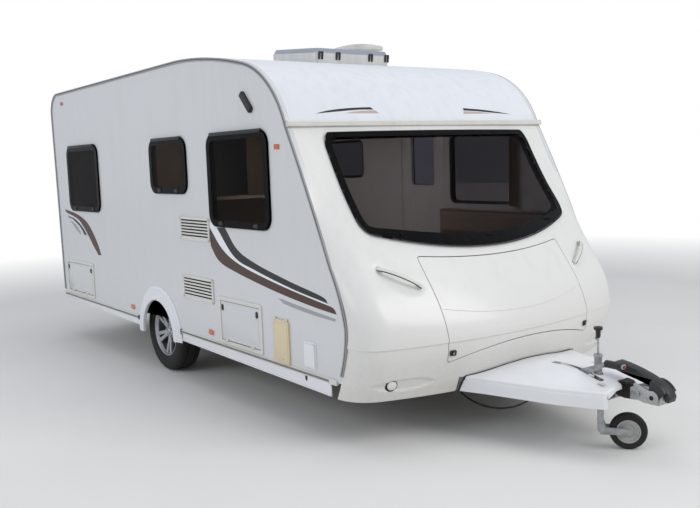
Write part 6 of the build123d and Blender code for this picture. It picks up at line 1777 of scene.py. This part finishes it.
def piping(loop, low, high):
    """A closed round cord through a loop of points, kept inside the cushion's box."""
    dense = []
    for start, end in zip(loop, loop[1:] + loop[:1]):
        steps = max(1, round((end - start).length / 0.03))
        dense += [start.lerp(end, step / steps) for step in range(steps)]
    fresh()
    bpy.ops.mesh.primitive_torus_add(major_segments=len(dense), minor_segments=PIPE_SIDES)
    cord, middle = bpy.context.object, sum(dense, Vector()) / len(dense)
    for index, corner in enumerate(cord.data.vertices):
        ring, turn = index // PIPE_SIDES, 2 * math.pi * (index % PIPE_SIDES) / PIPE_SIDES
        ahead = (dense[(ring + 1) % len(dense)] - dense[ring - 1]).normalized()
        outward = ahead.cross(UP).normalized()
        if outward.dot(dense[ring] - middle) < 0:
            outward = -outward
        corner.co = kept_in(dense[ring] + PIPE * (outward * math.cos(turn) + UP * math.sin(turn)), low,
                            high)
    return tidy(cord)


CUSHIONS = (        # name, low corner and high corner
    ("offside_seat", (0.257, -1.049, 0.8308), (1.429, -0.411, 0.9598)),
    ("nearside_seat", (0.269, 0.411, 0.8308), (1.429, 1.049, 0.9598)),
    ("offside_back", (0.257, -1.052, 0.9615), (1.399, -0.904, 1.1955)),
    ("nearside_back", (0.269, 0.904, 0.9615), (1.399, 1.052, 1.1955)))
seams = []
for name, low, high in CUSHIONS:
    seams += filled_cushion(low, high, name + "_cushion")
finished(seams, "cushion_piping", SLOTS["seat_cushions"], look="piping_cloth", angle=60)
print("cushions", len(CUSHIONS), "seams", len(seams))

# %% [markdown]
# ## Curtains
#
# Each curtain is one sheet, gathered into deep pleats beside its window. The sheet starts as a grid:
# its columns follow the pleats and its rows run down, where the folds open a little.

# %% Curtains
PLEATS, ACROSS, DOWN = 5, 120, 36
CURTAIN_X, CURTAIN_Y, CURTAIN_Z = (0.968, 1.012), 1.031, (1.203, 1.777)
SWING, SWING_OPEN, HEM = 0.0175, 0.005, 0.0025
for side, name in ((-1, "offside_curtain"), (1, "nearside_curtain")):
    def fold_corner(column, row):
        t, drop = column / ACROSS, row / DOWN
        swing = SWING + SWING_OPEN * (1 - drop)
        y = CURTAIN_Y + swing * math.sin(2 * math.pi * PLEATS * t + 0.3 * math.sin(5 * drop + side))
        x = CURTAIN_X[0] + (CURTAIN_X[1] - CURTAIN_X[0]) * (t + 0.012 * math.sin(9 * drop + 11 * t))
        return min(max(x, CURTAIN_X[0] - HEM),
                   CURTAIN_X[1] + HEM), side * y, CURTAIN_Z[0] + (CURTAIN_Z[1] - CURTAIN_Z[0]) * drop

    sheet = grid(ACROSS + 1, DOWN + 1, fold_corner)
    row = [corner.co.copy() for corner in sheet.data.vertices][DOWN // 2 * (ACROSS + 1):][:ACROSS + 1]
    flat_width = sum((after - before).length for before, after in zip(row, row[1:]))
    finished(sheet, name, SLOTS["curtains"], "curtains", angle=60)
print("curtains", round(flat_width, 3), "m of cloth each")

# %% [markdown]
# ## The cable under the drawbar
#
# A black sheathed cable leaves a gland under the floor, sags below the drawbar and goes up into a
# second gland near the hitch. It is one NURBS curve through the route's points with a round bevel,
# so it bends like a real cable and never has a corner.

# %% Drawbar cable
CABLE_ROUTE = ((1.668, -0.312, 0.398), (1.671, -0.311, 0.330), (1.692, -0.309, 0.264),
               (1.737, -0.306, 0.206), (1.802, -0.302, 0.168), (1.885, -0.299, 0.147),
               (1.978, -0.298, 0.143), (2.072, -0.299, 0.155), (2.160, -0.301, 0.181),
               (2.238, -0.303, 0.217), (2.306, -0.305, 0.260))
CABLE_RADIUS = 0.005
fresh()
run = bpy.data.curves.new("cable_run", "CURVE")
run.dimensions = "3D"
spline = run.splines.new("NURBS")
spline.points.add(len(CABLE_ROUTE) - 1)
for point, where in zip(spline.points, CABLE_ROUTE):
    point.co = (*where, 1.0)
spline.order_u, spline.use_endpoint_u, spline.resolution_u = 3, True, 12
run.bevel_depth, run.bevel_resolution, run.use_fill_caps = CABLE_RADIUS, 5, True
cable = bpy.data.objects.new("cable_run", run)
bpy.context.scene.collection.objects.link(cable)
finished(cable, "drawbar_cable_run", SLOTS["drawbar_cable"], "drawbar_cable", angle=None)
print("cable", len(CABLE_ROUTE), "points")
